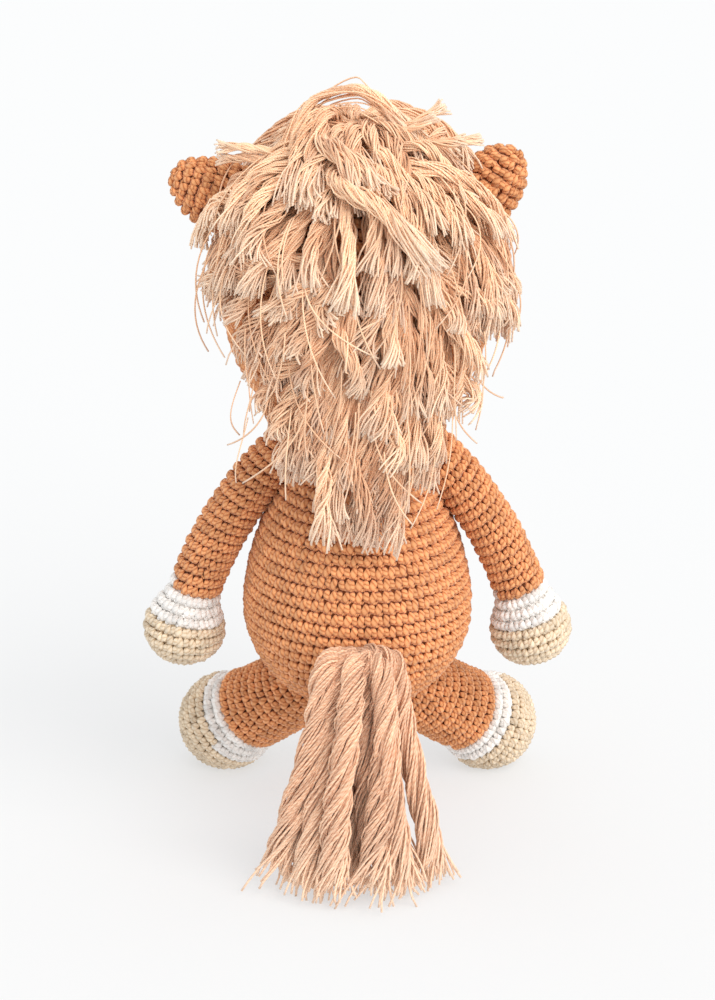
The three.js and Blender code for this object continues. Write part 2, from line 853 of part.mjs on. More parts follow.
// A cord leaves the roll backwards, bows over and falls to the floor.
function tailCordSolid(row, k) {
  const centred = (k - (row.count - 1) / 2) / row.count;
  const reachShare = row.reachShare * (1 - tailArcShare * (2 * centred) ** 2);
  const length = tailRollLength - 2 * tailCordRootRadius;
  const start = new THREE.Vector3(centred * length, -tailRollRadius - gap, row.offset);
  const floor = -(bodyHeight - tailDrop);
  const end = new THREE.Vector3(
    centred * tailFloorWidth * row.widthShare,
    -tailReach * reachShare - tailRollRadius,
    floor - tailCordRadius / 2,
  );
  const out = start.clone().add(new THREE.Vector3(0, -row.bow, row.rise));
  out.x = lerp(start.x, end.x, tailSpreadShare);
  const above = end.clone().lerp(start, tailFallShare);
  above.x = out.x;
  above.y = end.y;
  const path = new THREE.CubicBezierCurve3(start, out, above, end);
  const rings = listOf(cordSteps + 1, (step) => {
    const share = step / cordSteps;
    const middle = path.getPointAt(share);
    const tangent = path.getTangentAt(share);
    const across = new THREE.Vector3(1, 0, 0).addScaledVector(tangent, -tangent.x).normalize();
    const over = tangent.clone().cross(across);
    const spread = (middle.x - start.x) / (end.x - start.x);
    const spacing = lerp(length, tailFloorWidth * row.widthShare, spread) / row.count;
    const grown = lerp(tailCordRootRadius, tailCordRadius, Math.min(1, share * tailGrowth));
    const fitted = Math.min(grown, (spacing - tailCordGap) / 2);
    const radius = step === 0 ? fitted * tailTuckShare : fitted;
    return listOf(cordSides, (corner) => {
      const turn = (radians(360) * (corner + 0.5)) / cordSides;
      return middle
        .clone()
        .addScaledVector(across, radius * Math.cos(turn))
        .addScaledVector(over, radius * Math.sin(turn));
    });
  });
  return solidOf(lofted(rings, path.getPointAt(0), path.getPointAt(1)));
}

function addTail(parent) {
  const tail = group(parent, tailRoot);
  piece("tail_roll", tailRollSolid(), "yarn", tail);
  const size = 2 * (tailFloorWidth + tailReach);
  const below = new THREE.BoxGeometry(size, size, overrun + tailCordRadius);
  below.translate(0, 0, -(bodyHeight - tailDrop) - (overrun + tailCordRadius) / 2);
  const floor = solidOf(below);
  for (const [rowName, row] of Object.entries(tailRows)) {
    for (let k = 0; k < row.count; k += 1) {
      piece(`tail_cord_${rowName}_${k + 1}`, tailCordSolid(row, k).subtract(floor), "yarn", tail);
    }
  }
}

// The whole horse

const horse = new THREE.Group();
const standing = group(horse, new THREE.Vector3(0, 0, bodyHeight));
addBody(standing);
addArms(standing);
addLegs(standing);
addTail(standing);
addHead(standing);

const box = new THREE.Box3().setFromObject(horse, true);
standing.position.y -= (box.min.y + box.max.y) / 2;

export default horse;
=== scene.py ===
# Dresses the plush horse: crocheted covers, a mane and tail of cotton yarn, and a plain studio.
# Lengths are in metres, in the frame of the part: +Z up, the horse faces +Y.

import json
import math

import bpy
import numpy as np
from bpy.props import (
    FloatProperty,
    FloatVectorProperty,
    IntProperty,
    PointerProperty,
)
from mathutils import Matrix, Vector


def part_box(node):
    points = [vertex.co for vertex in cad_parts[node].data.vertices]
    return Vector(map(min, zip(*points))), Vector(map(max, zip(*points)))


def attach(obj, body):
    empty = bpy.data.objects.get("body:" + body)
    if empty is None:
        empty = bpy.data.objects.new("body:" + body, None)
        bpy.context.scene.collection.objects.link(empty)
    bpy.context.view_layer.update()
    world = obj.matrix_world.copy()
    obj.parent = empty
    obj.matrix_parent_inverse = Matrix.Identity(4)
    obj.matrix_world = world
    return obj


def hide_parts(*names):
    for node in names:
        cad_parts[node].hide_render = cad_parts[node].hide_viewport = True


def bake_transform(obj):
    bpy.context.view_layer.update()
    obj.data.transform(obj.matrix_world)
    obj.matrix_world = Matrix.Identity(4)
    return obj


bl_info = {
    "name": "Crocheted plush horse",
    "version": (1, 0, 0),
    "blender": (4, 5, 0),
    "location": "3D View > Sidebar > Plush Horse",
    "description": "Crochets the covers of a stuffed horse and lays its mane and tail of cotton yarn",
    "category": "Add Mesh",
}

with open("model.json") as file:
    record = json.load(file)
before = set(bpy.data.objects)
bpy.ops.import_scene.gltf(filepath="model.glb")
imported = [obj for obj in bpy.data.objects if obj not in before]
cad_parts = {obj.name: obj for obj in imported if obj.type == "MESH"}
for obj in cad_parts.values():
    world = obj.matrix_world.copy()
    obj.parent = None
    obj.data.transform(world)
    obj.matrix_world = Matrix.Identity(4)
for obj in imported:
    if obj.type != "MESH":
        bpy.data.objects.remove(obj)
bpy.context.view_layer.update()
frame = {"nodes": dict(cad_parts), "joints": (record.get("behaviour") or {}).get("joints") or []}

SIDES = {"left": -1, "right": 1}
GOLDEN_ANGLE = math.pi * (3 - math.sqrt(5))
UP = np.array([0.0, 0.0, 1.0])
BACKWARDS = np.array([0.0, -1.0, 0.0])
# Corners round a smooth turned surface, and points along each outline
RING_CORNERS = 48
POINTS = {
    "body": 80, "hoof": 60, "limb": 120, "limb_end": 40, "arm": 71, "egg": 200, "ear": 90, "neck": 30,
    "dome": 16, "satin": 9,
}
# What picks how each piece falls, besides the seed of its settings; the parts of a limb and the
# limbs of a kind count on from theirs.
SEEDS = {
    "body": 1, "head": 2, "muzzle": 3, "arms": 10, "legs": 40, "ears": 70, "neck": 90,
    "forelock": 60, "topknot": 77,
}


def joint_place(name):
    """Where a joint of the frame turns."""
    return np.array(next(j["pos_m"] for j in frame["joints"] if j["name"] == name))


def box_middle(name, drop=None):
    """The middle of a node's box; with a drop, its height is that far below the box's top."""
    low, high = (np.array(corner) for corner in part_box(name))
    middle = (low + high) / 2
    if drop is not None:
        middle[2] = high[2] - drop
    return middle


def put(name, data):
    """A new object in the scene."""
    thing = bpy.data.objects.new(name, data)
    bpy.context.scene.collection.objects.link(thing)
    return thing


# Settings


def length(label, words, default):
    return FloatProperty(name=label, description=words, default=default, unit="LENGTH")


def share(label, words, default):
    return FloatProperty(name=label, description=words, default=default, min=0, subtype="FACTOR")


def angle(label, words, degrees):
    return FloatProperty(
        name=label, description=words, default=math.radians(degrees), subtype="ANGLE"
    )


def count(label, words, default):
    return IntProperty(name=label, description=words, default=default, min=1)


def colour(label, words, code):
    """A colour property from a screen colour such as cf8f55."""
    screen = [int(code[k : k + 2], 16) / 255 for k in (0, 2, 4)]
    linear = [c / 12.92 if c <= 0.04045 else ((c + 0.055) / 1.055) ** 2.4 for c in screen]
    return FloatVectorProperty(
        name=label, description=words, default=linear, size=3, min=0, max=1, subtype="COLOR"
    )


class CrochetSettings(bpy.types.PropertyGroup):
    stitch_width: length("Stitch width", "Width of one single crochet stitch", 0.0058)
    round_height: length("Round height", "Height of one round of stitches", 0.0055)
    strand_width: length("Strand width", "Width of each of the two strands of a stitch", 0.0036)
    strand_depth: length("Strand depth", "How far a strand stands out of the fabric", 0.0028)
    hollow_depth: length("Hollow depth", "From the crest of the stitches to the inside", 0.0018)
    loft: length("Loft", "How far the crests stand proud of the stuffed shape", 0.0009)
    limb_tightness: share("Limb tightness", "Size of the stitches of the limbs to the body's", 0.9)
    ear_tightness: share("Ear tightness", "Size of the stitches of the ears to the body's", 0.9)
    drift: share("Drift", "How far a round leans past the one below, in stitches", 0.2)
    unevenness: share("Unevenness", "How much the stitches differ from each other", 0.05)
    seed: count("Seed", "Picks the unevenness", 7)
    caramel: colour("Caramel", "Yarn of the body, head, ears and limbs", "edab76")
    white: colour("White", "Yarn of the bands", "f5f2ef")
    beige: colour("Beige", "Yarn of the hoofs and the muzzle", "e8d7bf")
    thread: colour("Thread", "Dark thread of the nostrils", "3a2a20")
    fibre: colour("Filling", "Polyester fibre inside the covers", "f4f2ec")
    caramel_shade: share("Caramel shade", "Light left in the shaded hollows of caramel fabric", 0.3)
    white_shade: share("White shade", "Light left in the shaded hollows of white fabric", 1.0)
    beige_shade: share("Beige shade", "Light left in the shaded hollows of beige fabric", 0.85)


class BodySettings(bpy.types.PropertyGroup):
    radius: length("Radius", "Of the widest round", 0.0515)
    lower_height: length("Lower height", "From the widest round to the underside", 0.0486)
    upper_height: length("Upper height", "From the widest round to the neck", 0.077)
    neck_radius: length("Neck radius", "Of the flat top", 0.023)
    taper_power: FloatProperty(
        name="Taper", description="How late the body narrows to the neck", default=1.8
    )


class HeadSettings(bpy.types.PropertyGroup):
    radius: length("Radius", "Of the widest round", 0.059)
    half_height: length("Half height", "Of the egg-shaped head", 0.068)
    muzzle_half_width: length("Muzzle half width", "Across the muzzle", 0.037)
    muzzle_half_height: length("Muzzle half height", "Up the muzzle", 0.027)
    muzzle_half_depth: length("Muzzle half depth", "Along the muzzle", 0.04)
    muzzle_forward: length("Muzzle forward", "Of its middle from the head's middle", 0.047)
    muzzle_drop: length("Muzzle drop", "Of its middle below the head's middle", 0.022)
    nostril_radius: length("Nostril radius", "Of the sewn oval", 0.003)
    nostril_thread: length("Nostril thread", "Radius of the thread that it is sewn with", 0.00045)
    nostril_rise: length("Nostril rise", "Of the middle of a stitch", 0.0006)
    nostril_sink: length("Nostril sink", "Of the ends of a stitch into the muzzle", 0.0002)
    nostril_stitches: count("Nostril stitches", "Across the oval", 9)
    ear_length: length("Ear length", "With the end inside the head", 0.047)
    ear_width: length("Ear width", "Across the ear", 0.032)
    ear_thickness: length("Ear thickness", "Through the ear", 0.014)
    ear_rise: length("Ear rise", "Of its root above the head's middle", 0.037)
    ear_forward: length("Ear forward", "Of its root from the head's middle", 0.009)
    ear_root_left: length("Left ear root", "Of the end inside the head", 0.012)
    ear_root_right: length("Right ear root", "Of the end inside the head", 0.015)
    ear_lean_left: angle("Left ear lean", "From upright", 66)
    ear_lean_right: angle("Right ear lean", "From upright", 40)
    eye_radius: length("Eye radius", "Of the plastic dome", 0.006)
    eye_height: length("Eye height", "Of the plastic dome", 0.0046)


class ArmSettings(bpy.types.PropertyGroup):
    ball_radius: length("Shoulder radius", "Of the round end at the shoulder", 0.0112)
    wrist_radius: length("Wrist radius", "Where the white band starts", 0.0116)
    foot_radius: length("Hoof radius", "At its widest place", 0.0183)
    end_height: length("End height", "From the widest place to the end", 0.017)
    white_start: length("White start", "Along the arm", 0.075)
    hoof_start: length("Hoof start", "Along the arm", 0.09)
    length: length("Length", "From the shoulder to the widest place of the hoof", 0.096)
    hand_lean: angle("Hand lean", "From upright at the hoof", 12)
    body_gap: length("Body gap", "Between a hanging arm and the body", 0.0003)


class LegSettings(bpy.types.PropertyGroup):
    ball_radius: length("Hip radius", "Of the round end at the hip", 0.0175)
    wrist_radius: length("Ankle radius", "Where the white band starts", 0.0197)
    foot_radius: length("Hoof radius", "At its widest place", 0.0232)
    end_height: length("End height", "From the widest place to the end", 0.0232)
    white_start: length("White start", "Along the leg", 0.045)
    hoof_start: length("Hoof start", "Along the leg", 0.057)
    length: length("Length", "From the hip to the widest place of the hoof", 0.062)
    azimuth: angle("Azimuth", "From straight ahead to the side", 54.8)
    drop: angle("Drop", "Below level", 34)


class ManeSettings(bpy.types.PropertyGroup):
    thickness: length("Thickness", "Of the mane over the head", 0.0125)
    seat: length("Seat", "Of the innermost locks off the head", 0.001)
    hang_share: share("Hang", "Where locks leave the head, in quarters of its outline", 1.22)
    hang_lean: angle("Hang lean", "Of a hanging lock towards the body", 5)
    rest_share: share("Rest", "Locks past this share of the head's outline rest on the back", 1.6)
    rest_reach: length("Rest reach", "From the neck down, where a lock no longer nods", 0.075)
    lock_radius: length("Lock radius", "Half the width of a lock before it frays", 0.0036)
    flatness: share("Flatness", "Thickness of a lock to its width", 0.75)
    plies: count("Plies", "In each lock", 3)
    threads: count("Threads", "In each lock", 24)
    thread_radius: length("Thread radius", "Of one thread", 0.00045)
    twist_length: length("Twist length", "For one full turn of a lock", 0.045)
    fray_share: share("Fray", "Of a lock's length that frays", 0.26)
    wander: share("Wander", "How far a thread strays from its ply, of the lock's radius", 0.2)
    fringe_wave: share("Fringe wave", "How far loose threads wave, of the lock's radius", 0.15)
    lock_pitch: length("Lock pitch", "Between neighbouring locks", 0.0078)
    gather_share: share("Gather", "How much hanging locks draw together", 0.34)
    parting_width: angle("Parting width", "Of the strip that the locks start from", 10)
    strays: count("Stray threads", "Loose threads in each piece of the mane", 5)
    crown_locks: count("Crown locks", "Short locks heaped over the crown", 26)
    crown_strays: count("Crown strays", "Loose threads along the crown's arch", 14)
    seed: count("Seed", "Picks how the locks fall", 23)
    yarn: colour("Yarn", "Cotton yarn of the mane", "ffdfbf")
    tips: colour("Tips", "Cut ends of the yarn", "ffebd6")
    # The innermost yarn looks deeper through painted shade.
    inner_depth: share("Inner depth", "How much deeper the innermost yarn looks", 0.6)


class TailSettings(bpy.types.PropertyGroup):
    roll_length: length("Roll length", "Of the roll that the cords are sewn to", 0.04)
    roll_radius: length("Roll radius", "Of that roll", 0.0046)
    reach: length("Reach", "Of the outer row's ends behind the body", 0.037)
    floor_width: length("Floor width", "Of the tail where it stands", 0.084)
    cord_radius: length("Cord radius", "Of a thick cord", 0.0057)
    plies: count("Plies", "In each cord", 4)
    threads: count("Threads", "In each cord", 64)
    thread_radius: length("Thread radius", "Of one thread", 0.00052)
    twist_length: length("Twist length", "For one full turn of a cord", 0.052)
    fray_share: share("Fray", "Of a cord's length that frays", 0.19)
    wander: share("Wander", "How far a thread strays from its ply, of the cord's radius", 0.14)
    arc_share: share("Arc", "How much nearer the sides stand, of the reach", 0.6)
    alternate: length("Alternate", "How far neighbouring cords lie before each other", 0.0034)
    fringe_wave: share("Fringe wave", "How far loose threads wave, of the cord's radius", 0.3)
    bulge: length("Bulge", "How far the middle cords stand apart at the top", 0.0058)
    seed: count("Seed", "Picks how the cords fall", 41)
    yarn: colour("Yarn", "Cotton yarn of the tail", "f1ccae")
    tips: colour("Tips", "Cut ends of the yarn", "fcdfc4")
    # The innermost yarn looks deeper through painted shade.
    inner_depth: share("Inner depth", "How much deeper the innermost yarn looks", 0.35)


class StageSettings(bpy.types.PropertyGroup):
    camera_distance: length("Camera distance", "From the middle of the horse", 1.3)
    camera_elevation: angle("Camera elevation", "Above level, behind the horse", 20)
    camera_aim: length("Camera aim", "Height of the middle of the picture", 0.1526)
    camera_lens: FloatProperty(name="Lens", description="In millimetres", default=103.9)
    backdrop: colour("Backdrop", "Behind the floor's far edge", "fafcfd")
    floor: colour("Floor", "Of the plain studio floor", "f0f1f2")
    floor_glow: share("Floor glow", "Of its light that comes from below", 0.62)
    floor_half_width: length("Floor half width", "From the horse to each edge of the floor", 12.0)
    sky_strength: FloatProperty(name="Sky", description="Soft light from all round", default=0.94)
    sky_colour: colour("Sky colour", "Of the soft light from all round", "fcfeff")
    lamp_strength: FloatProperty(name="Lamp", description="Strength of the lamp", default=2.0)
    lamp_colour: colour("Lamp colour", "Warmth of the lamp", "fff9f2")
    lamp_width: angle("Lamp width", "How broad the lamp looks", 50)
    lamp_azimuth: angle("Lamp azimuth", "From the camera to its right", 42)
    lamp_elevation: angle("Lamp elevation", "Above level", 38)


SETTINGS = {
    "crochet": CrochetSettings,
    "body": BodySettings,
    "head": HeadSettings,
    "arm": ArmSettings,
    "leg": LegSettings,
    "mane": ManeSettings,
    "tail": TailSettings,
    "stage": StageSettings,
}


class HorseSettings(bpy.types.PropertyGroup):
    """Points to each group of settings by its name."""

    __annotations__ = {name: PointerProperty(type=kind) for name, kind in SETTINGS.items()}


def settings():
    return bpy.context.scene.plush_horse


def draws(made, seed):
    """The random draws of a piece, picked by the seed of its settings and its own."""
    return np.random.default_rng(made.seed * 1000 + seed)


# Meshes of yarn


def unit(vectors):
    return vectors / np.maximum(np.linalg.norm(vectors, axis=-1, keepdims=True), 1e-12)


def eased(values, steps):
    """Evenly spaced places on a smooth curve through the given values."""
    values = np.asarray(values, float)
    spans = len(values) - 1
    place = np.linspace(0, spans, steps)
    k = np.minimum(place.astype(int), spans - 1)
    part = (place - k).reshape((-1,) + (1,) * (values.ndim - 1))
    held = np.concatenate([2 * values[:1] - values[1:2], values, 2 * values[-1:] - values[-2:-1]])
    a, b, c, d = (held[k + n] for n in range(4))
    bend = (2 * a - 5 * b + 4 * c - d) * part**2 + (3 * b - a - 3 * c + d) * part**3
    return b + ((c - a) * part + bend) / 2


def tube_faces(rings, sides):
    """Quads over one tube with closed ends, and where each corner lies round and along it."""
    i, j = np.meshgrid(np.arange(rings - 1), np.arange(sides), indexing="ij")
    i, j = i.ravel(), j.ravel()
    corners = ((0, 0), (0, 1), (1, 1), (1, 0))
    skin = np.stack([(i + a) * sides + (j + b) % sides for a, b in corners], 1)
    skin_uv = np.stack([np.stack([(j + b) / sides, (i + a) / (rings - 1)], 1) for a, b in corners], 1)
    near_end = np.array([[0, k + 2, k + 1, k] for k in range(1, sides - 2, 2)])
    far_end = near_end[:, ::-1] + (rings - 1) * sides
    near_uv = np.stack([near_end / sides, np.zeros(near_end.shape)], 2)
    far_uv = np.stack([(far_end % sides) / sides, np.ones(far_end.shape)], 2)
    return np.concatenate([skin, near_end, far_end]), np.concatenate([skin_uv, near_uv, far_uv])


class Yarnwork:
    """Gathers tubes of yarn, and makes them one mesh with a tone for each tube, which for the inner yarn
    is also painted shade.
    """

    def __init__(self):
        self.points, self.faces, self.uvs, self.tones, self.slots = [], [], [], [], []
        self.total = 0

    def add(self, rings, tones, slot=0, turned_in=False):
        """rings is (tubes, rings, sides, 3), and tones has a value from 0 to 1 for each tube."""
        tubes, along, sides, _ = rings.shape
        faces, uvs = tube_faces(along, sides)
        if turned_in:
            faces, uvs = faces[:, ::-1], uvs[:, ::-1]
        offsets = self.total + np.arange(tubes) * along * sides
        self.points.append(rings.reshape(-1, 3))
        self.faces.append((faces[None] + offsets[:, None, None]).reshape(-1, 4))
        self.uvs.append(np.broadcast_to(uvs, (tubes,) + uvs.shape).reshape(-1, 2))
        self.tones.append(np.repeat(np.broadcast_to(tones, (tubes,)), along * sides))
        self.slots.append(np.full(tubes * len(faces), slot))
        self.total += tubes * along * sides

    def make(self, name, materials):
        points = np.concatenate(self.points)
        faces = np.concatenate(self.faces)
        mesh = bpy.data.meshes.new(name)
        mesh.vertices.add(len(points))
        mesh.vertices.foreach_set("co", points.astype(np.float32).ravel())
        mesh.loops.add(faces.size)
        mesh.loops.foreach_set("vertex_index", faces.astype(np.int32).ravel())
        mesh.polygons.add(len(faces))
        mesh.polygons.foreach_set("loop_start", np.arange(0, faces.size, 4, dtype=np.int32))
        mesh.polygons.foreach_set("material_index", np.concatenate(self.slots).astype(np.int32))
        mesh.update(calc_edges=True)
        layer = mesh.uv_layers.new(name="yarn")
        layer.data.foreach_set("uv", np.concatenate(self.uvs).astype(np.float32).ravel())
        tone = mesh.attributes.new("tone", "FLOAT", "POINT")
        tone.data.foreach_set("value", np.concatenate(self.tones).astype(np.float32))
        mesh.polygons.foreach_set("use_smooth", np.ones(len(faces), dtype=bool))
        for material in materials:
            mesh.materials.append(material)
        mesh.validate()
        return put(name, mesh)


def dress(piece, body, slot, *nodes, bend=None):
    """Hangs a piece on its body and hides the nodes that it stands for.

    A piece with a bend is not hung on its body: it keeps its place in the frame.
    """
    if bend:
        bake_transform(piece)
    else:
        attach(piece, body)
    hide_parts(*nodes)


# Crochet


class Rounds:
    """A surface that is worked in rounds, from the start of an outline to its end.

    outline holds (radius, height) pairs, and place puts points round its axis into the frame.
    """

    # How far apart the points lie that give a normal: a part of the outline's length, and a turn
    PARTS, TURN = 400, 0.02

    def __init__(self, outline, place):
        steps = np.linalg.norm(np.diff(outline, axis=0), axis=1)
        self.outline, self.place = outline, place
        self.places = np.concatenate([[0], np.cumsum(steps)])
        self.length = self.places[-1]
        turns = np.linspace(0, 2 * math.pi, 8, endpoint=False)
        half_way = np.full(turns.shape, self.length / 2)
        ring, normals = self.point(half_way, turns), self.raw_normal(half_way, turns)
        outward = ((ring - ring.mean(axis=0)) * normals).sum(axis=1).mean()
        self.outward = 1 if outward > 0 else -1

    def radius(self, along):
        return np.interp(along, self.places, self.outline[:, 0])

    def point(self, along, turn):
        radius = self.radius(along)
        height = np.interp(along, self.places, self.outline[:, 1])
        return self.place(np.stack([radius * np.sin(turn), radius * np.cos(turn), height], -1))

    def raw_normal(self, along, turn):
        reach = self.length / self.PARTS
        held = np.clip(along, 2 * reach, self.length - 2 * reach)
        up = self.point(held + reach, turn) - self.point(held - reach, turn)
        around = self.point(held, turn + self.TURN) - self.point(held, turn - self.TURN)
        return unit(np.cross(up, around))

    def lifted(self, along, turn, lift):
        along = np.clip(along, 0, self.length)
        normal = self.raw_normal(along, turn) * self.outward
        return self.point(along, turn) + normal * lift[..., None]


# The strands of one single crochet: a slanting leg, an upright leg and the bar beneath. Each has
# the places that its line starts at, bends towards and ends at, as shares of the stitch's width
# and height and of a strand's depth below the crest, and its own width and depth.
STITCH_SHARES = (
    {
        "places": ((-0.34, 0.47, 0), (-0.3, 0.03, 0), (0.11, -0.44, 0)),
        "width": 1, "depth": 1, "rings": 5, "sides": 6,
    },
    {
        "places": ((0.33, 0.48, 0.05), (0.36, 0.06, 0), (0.21, -0.38, 0.15)),
        "width": 0.88, "depth": 1, "rings": 5, "sides": 6,
    },
    {
        "places": ((-0.68, -0.2, 0.4), (-0.42, -0.42, 0.3), (-0.1, -0.52, 0.4)),
        "width": 0.6, "depth": 0.8, "rings": 3, "sides": 4,
    },
)
# How much closer the rings of a strand lie at its ends, how far its ends dive into the fabric and
# how much thinner they are
STRAND_SHARES = {"crowding": 0.35, "dive": 0.95, "thinning": 0.45}
# How much stitches differ besides their unevenness: their tones, the tones of their strands, and
# how far they turn for each share that they grow or shrink
UNEVEN_SHARES = {"stitch_tone": 0.22, "strand_tone": 0.1, "turn": 1.6}
# How fat the strands of the bands, hoofs and ears are, to those of the other covers
PLUMP = 1.1
# The fewest stitches of a round, and how far the hollow stays off the ends of its outline
FEWEST_STITCHES = 6
END_GAP = 0.00001
# How full each kind of cover is
FILL_SHARES = {"body": 0.9, "limb": 0.9, "head": 0.95, "muzzle": 0.9, "ear": 0.5}


def strand_rings(start, middle, end, half_width, half_depth, rings, sides):
    """One fat strand of a stitch: (rings, sides, 3) places across, up and out of the fabric."""
    t = np.linspace(0, 1, rings)
    t = (t - STRAND_SHARES["crowding"] * np.sin(2 * math.pi * t) / (2 * math.pi))[:, None]
    line = (1 - t) ** 2 * start + 2 * t * (1 - t) * middle + t**2 * end
    near_end = np.abs(2 * t - 1)
    line[:, 2:] -= STRAND_SHARES["dive"] * half_depth * near_end**2.6
    ahead = unit(end[:2] - start[:2])
    beside = np.array([ahead[1], -ahead[0], 0])
    swell = 1 - STRAND_SHARES["thinning"] * near_end**5
    turn = math.pi / 2 + 2 * math.pi * np.arange(sides) / sides
    across = np.cos(turn)[None, :, None] * beside * half_width
    out = np.sin(turn)[None, :, None] * UP * half_depth
    return line[:, None] + swell[:, None] * (across + out)


def stitch_strands(crochet, scale, plumpness):
    """The strands of one single crochet, each as rings round its line."""
    half_width = crochet.strand_width / 2 * scale * plumpness
    half_depth = crochet.strand_depth / 2 * scale * plumpness
    size = np.array([crochet.stitch_width * scale, crochet.round_height * scale, -half_depth])
    strands = []
    for strand in STITCH_SHARES:
        places = (np.array(strand["places"]) + (0, 0, 1)) * size
        strands.append(
            strand_rings(
                *places, half_width * strand["width"], half_depth * strand["depth"],
                strand["rings"], strand["sides"],
            )
        )
    return strands


def crochet_onto(work, rounds, seed, span=None, keep=None, scale=1.0, lumps=1.0, plumpness=1.0):
    """Works rounds of stitches over the surface, and a sheet in the hollow behind them that carries
    painted shade.

    span is the part of the outline's length that is worked, keep says which stitches show, scale
    makes the stitches tighter, lumps makes them less even and plumpness fattens their strands.
    """
    crochet = settings().crochet
    first, last = span or (0, rounds.length)
    rng = draws(crochet, seed)
    width, height = crochet.stitch_width * scale, crochet.round_height * scale
    total = max(1, round(rounds.length / height))
    pitch = rounds.length / total
    places, turns, steps = [], [], []
    lean = 0.0
    for k in range(total):
        middle = (k + 0.5) * pitch
        stitches = max(FEWEST_STITCHES, round(2 * math.pi * rounds.radius(middle) / width))
        start = lean
        lean += crochet.drift * 2 * math.pi / stitches
        if not first - pitch / 2 < middle <= last + pitch / 2:
            continue
        turn = 2 * math.pi * np.arange(stitches) / stitches
        # Each round climbs by its own height, so that the next one starts where it ends.
        along = middle + pitch * (turn / (2 * math.pi) - 0.5)
        shown = (along > first) & (along <= last)
        places.append(along[shown])
        turns.append((start + turn * (1 + crochet.drift / stitches))[shown])
        steps.append(np.full(shown.sum(), 2 * math.pi / stitches))
    places, turns, steps = (np.concatenate(a) for a in (places, turns, steps))
    if keep is not None:
        shown = keep(rounds.point(places, turns))
        places, turns, steps = places[shown], turns[shown], steps[shown]
    uneven = crochet.unevenness * lumps * rng.standard_normal((5, len(places)))
    tones = np.clip(0.5 + UNEVEN_SHARES["stitch_tone"] * rng.standard_normal(len(places)), 0, 1)
    uneven, places, turns, steps = (a[..., None, None] for a in (uneven, places, turns, steps))
    cos, sin = np.cos(uneven[0] * UNEVEN_SHARES["turn"]), np.sin(uneven[0] * UNEVEN_SHARES["turn"])
    for strand in stitch_strands(crochet, scale, plumpness):
        x, y = strand[..., 0] * (1 + uneven[1]), strand[..., 1] * (1 + uneven[2])
        across = x * cos - y * sin + uneven[3] * width
        up = x * sin + y * cos
        lift = crochet.loft + strand[..., 2] + uneven[4] * crochet.strand_depth
        rings = rounds.lifted(places + up * pitch / height, turns + across / width * steps, lift)
        tone = np.clip(tones + UNEVEN_SHARES["strand_tone"] * rng.standard_normal(len(tones)), 0, 1)
        work.add(rings, tone, 0, rounds.outward > 0)
    # A sheet just under the stitches takes the second finish, which is painted shade, so that the gaps
    # between the stitches look dark.
    rows = max(3, round((last - first) / height) + 1)
    along = np.linspace(max(first, END_GAP), min(last, rounds.length - END_GAP), rows)
    turn = 2 * math.pi * np.arange(RING_CORNERS) / RING_CORNERS
    along, turn = np.meshgrid(along, turn, indexing="ij")
    shade_sheet = rounds.lifted(along, turn, np.full(along.shape, -crochet.hollow_depth))
    work.add(shade_sheet[None], 0.5, 1, rounds.outward > 0)


def crochet_cover(name, body, kind, node, fill, rounds, seed, **more):
    """Crochets one padded cover over its rounds and hangs it on its body."""
    work = Yarnwork()
    crochet_onto(work, rounds, seed, **more)
    piece = work.make(name, crochet_finishes(kind))
    dress(piece, body, f"{kind}_crochet", node)


# Finishes


WHITE = (1.0, 1.0, 1.0, 1.0)
# The power that takes a yarn's colour to the richer, darker one of the painted shade between its own
# threads
SHADE_RICHNESS = 1.9


def wire(tree, source, target):
    """Feeds a socket from another node's output, or sets it to a plain value."""
    if isinstance(source, bpy.types.NodeSocket):
        tree.links.new(source, target)
    else:
        target.default_value = source


def feed(tree, node, inputs):
    """Wires or sets the inputs of a node by their names."""
    for name, source in inputs.items():
        wire(tree, source, node.inputs[name])


def new_node(tree, kind, inputs=None, **values):
    node = tree.nodes.new(kind)
    for key, value in values.items():
        setattr(node, key, value)
    feed(tree, node, inputs or {})
    return node


def math_node(tree, operation, *values, clamp=False):
    node = new_node(tree, "ShaderNodeMath", operation=operation, use_clamp=clamp)
    for socket, value in zip(node.inputs, values):
        wire(tree, value, socket)
    return node.outputs[0]


def mix_colours(tree, blend, factor, first, second):
    node = new_node(tree, "ShaderNodeMix", data_type="RGBA", blend_type=blend)
    for place, value in ((0, factor), (6, first), (7, second)):
        wire(tree, value, node.inputs[place])
    return node.outputs[2]


def noise(tree, scale, detail, roughness=0.5):
    """Noise over an object's own places."""
    own = new_node(tree, "ShaderNodeTexCoord").outputs["Object"]
    inputs = {"Vector": own, "Scale": scale, "Detail": detail, "Roughness": roughness}
    return new_node(tree, "ShaderNodeTexNoise", inputs).outputs["Fac"]


def yarn_place(tree):
    """Where a point of a strand lies round it and along it, from 0 to 1."""
    place = new_node(tree, "ShaderNodeUVMap", uv_map="yarn").outputs[0]
    split = new_node(tree, "ShaderNodeSeparateXYZ", {"Vector": place})
    return split.outputs[0], split.outputs[1]


def shader_group(name, inputs, outputs):
    """An empty node group with its named inputs and outputs and their values; a tuple is a colour."""
    tree = bpy.data.node_groups.new(name, "ShaderNodeTree")
    for in_out, sockets in (("INPUT", inputs), ("OUTPUT", outputs)):
        for label, value in sockets.items():
            kind = "NodeSocketColor" if isinstance(value, tuple) else "NodeSocketFloat"
            socket = tree.interface.new_socket(label, in_out=in_out, socket_type=kind)
            socket.default_value = value
    return tree, tree.nodes.new("NodeGroupInput").outputs, tree.nodes.new("NodeGroupOutput").inputs


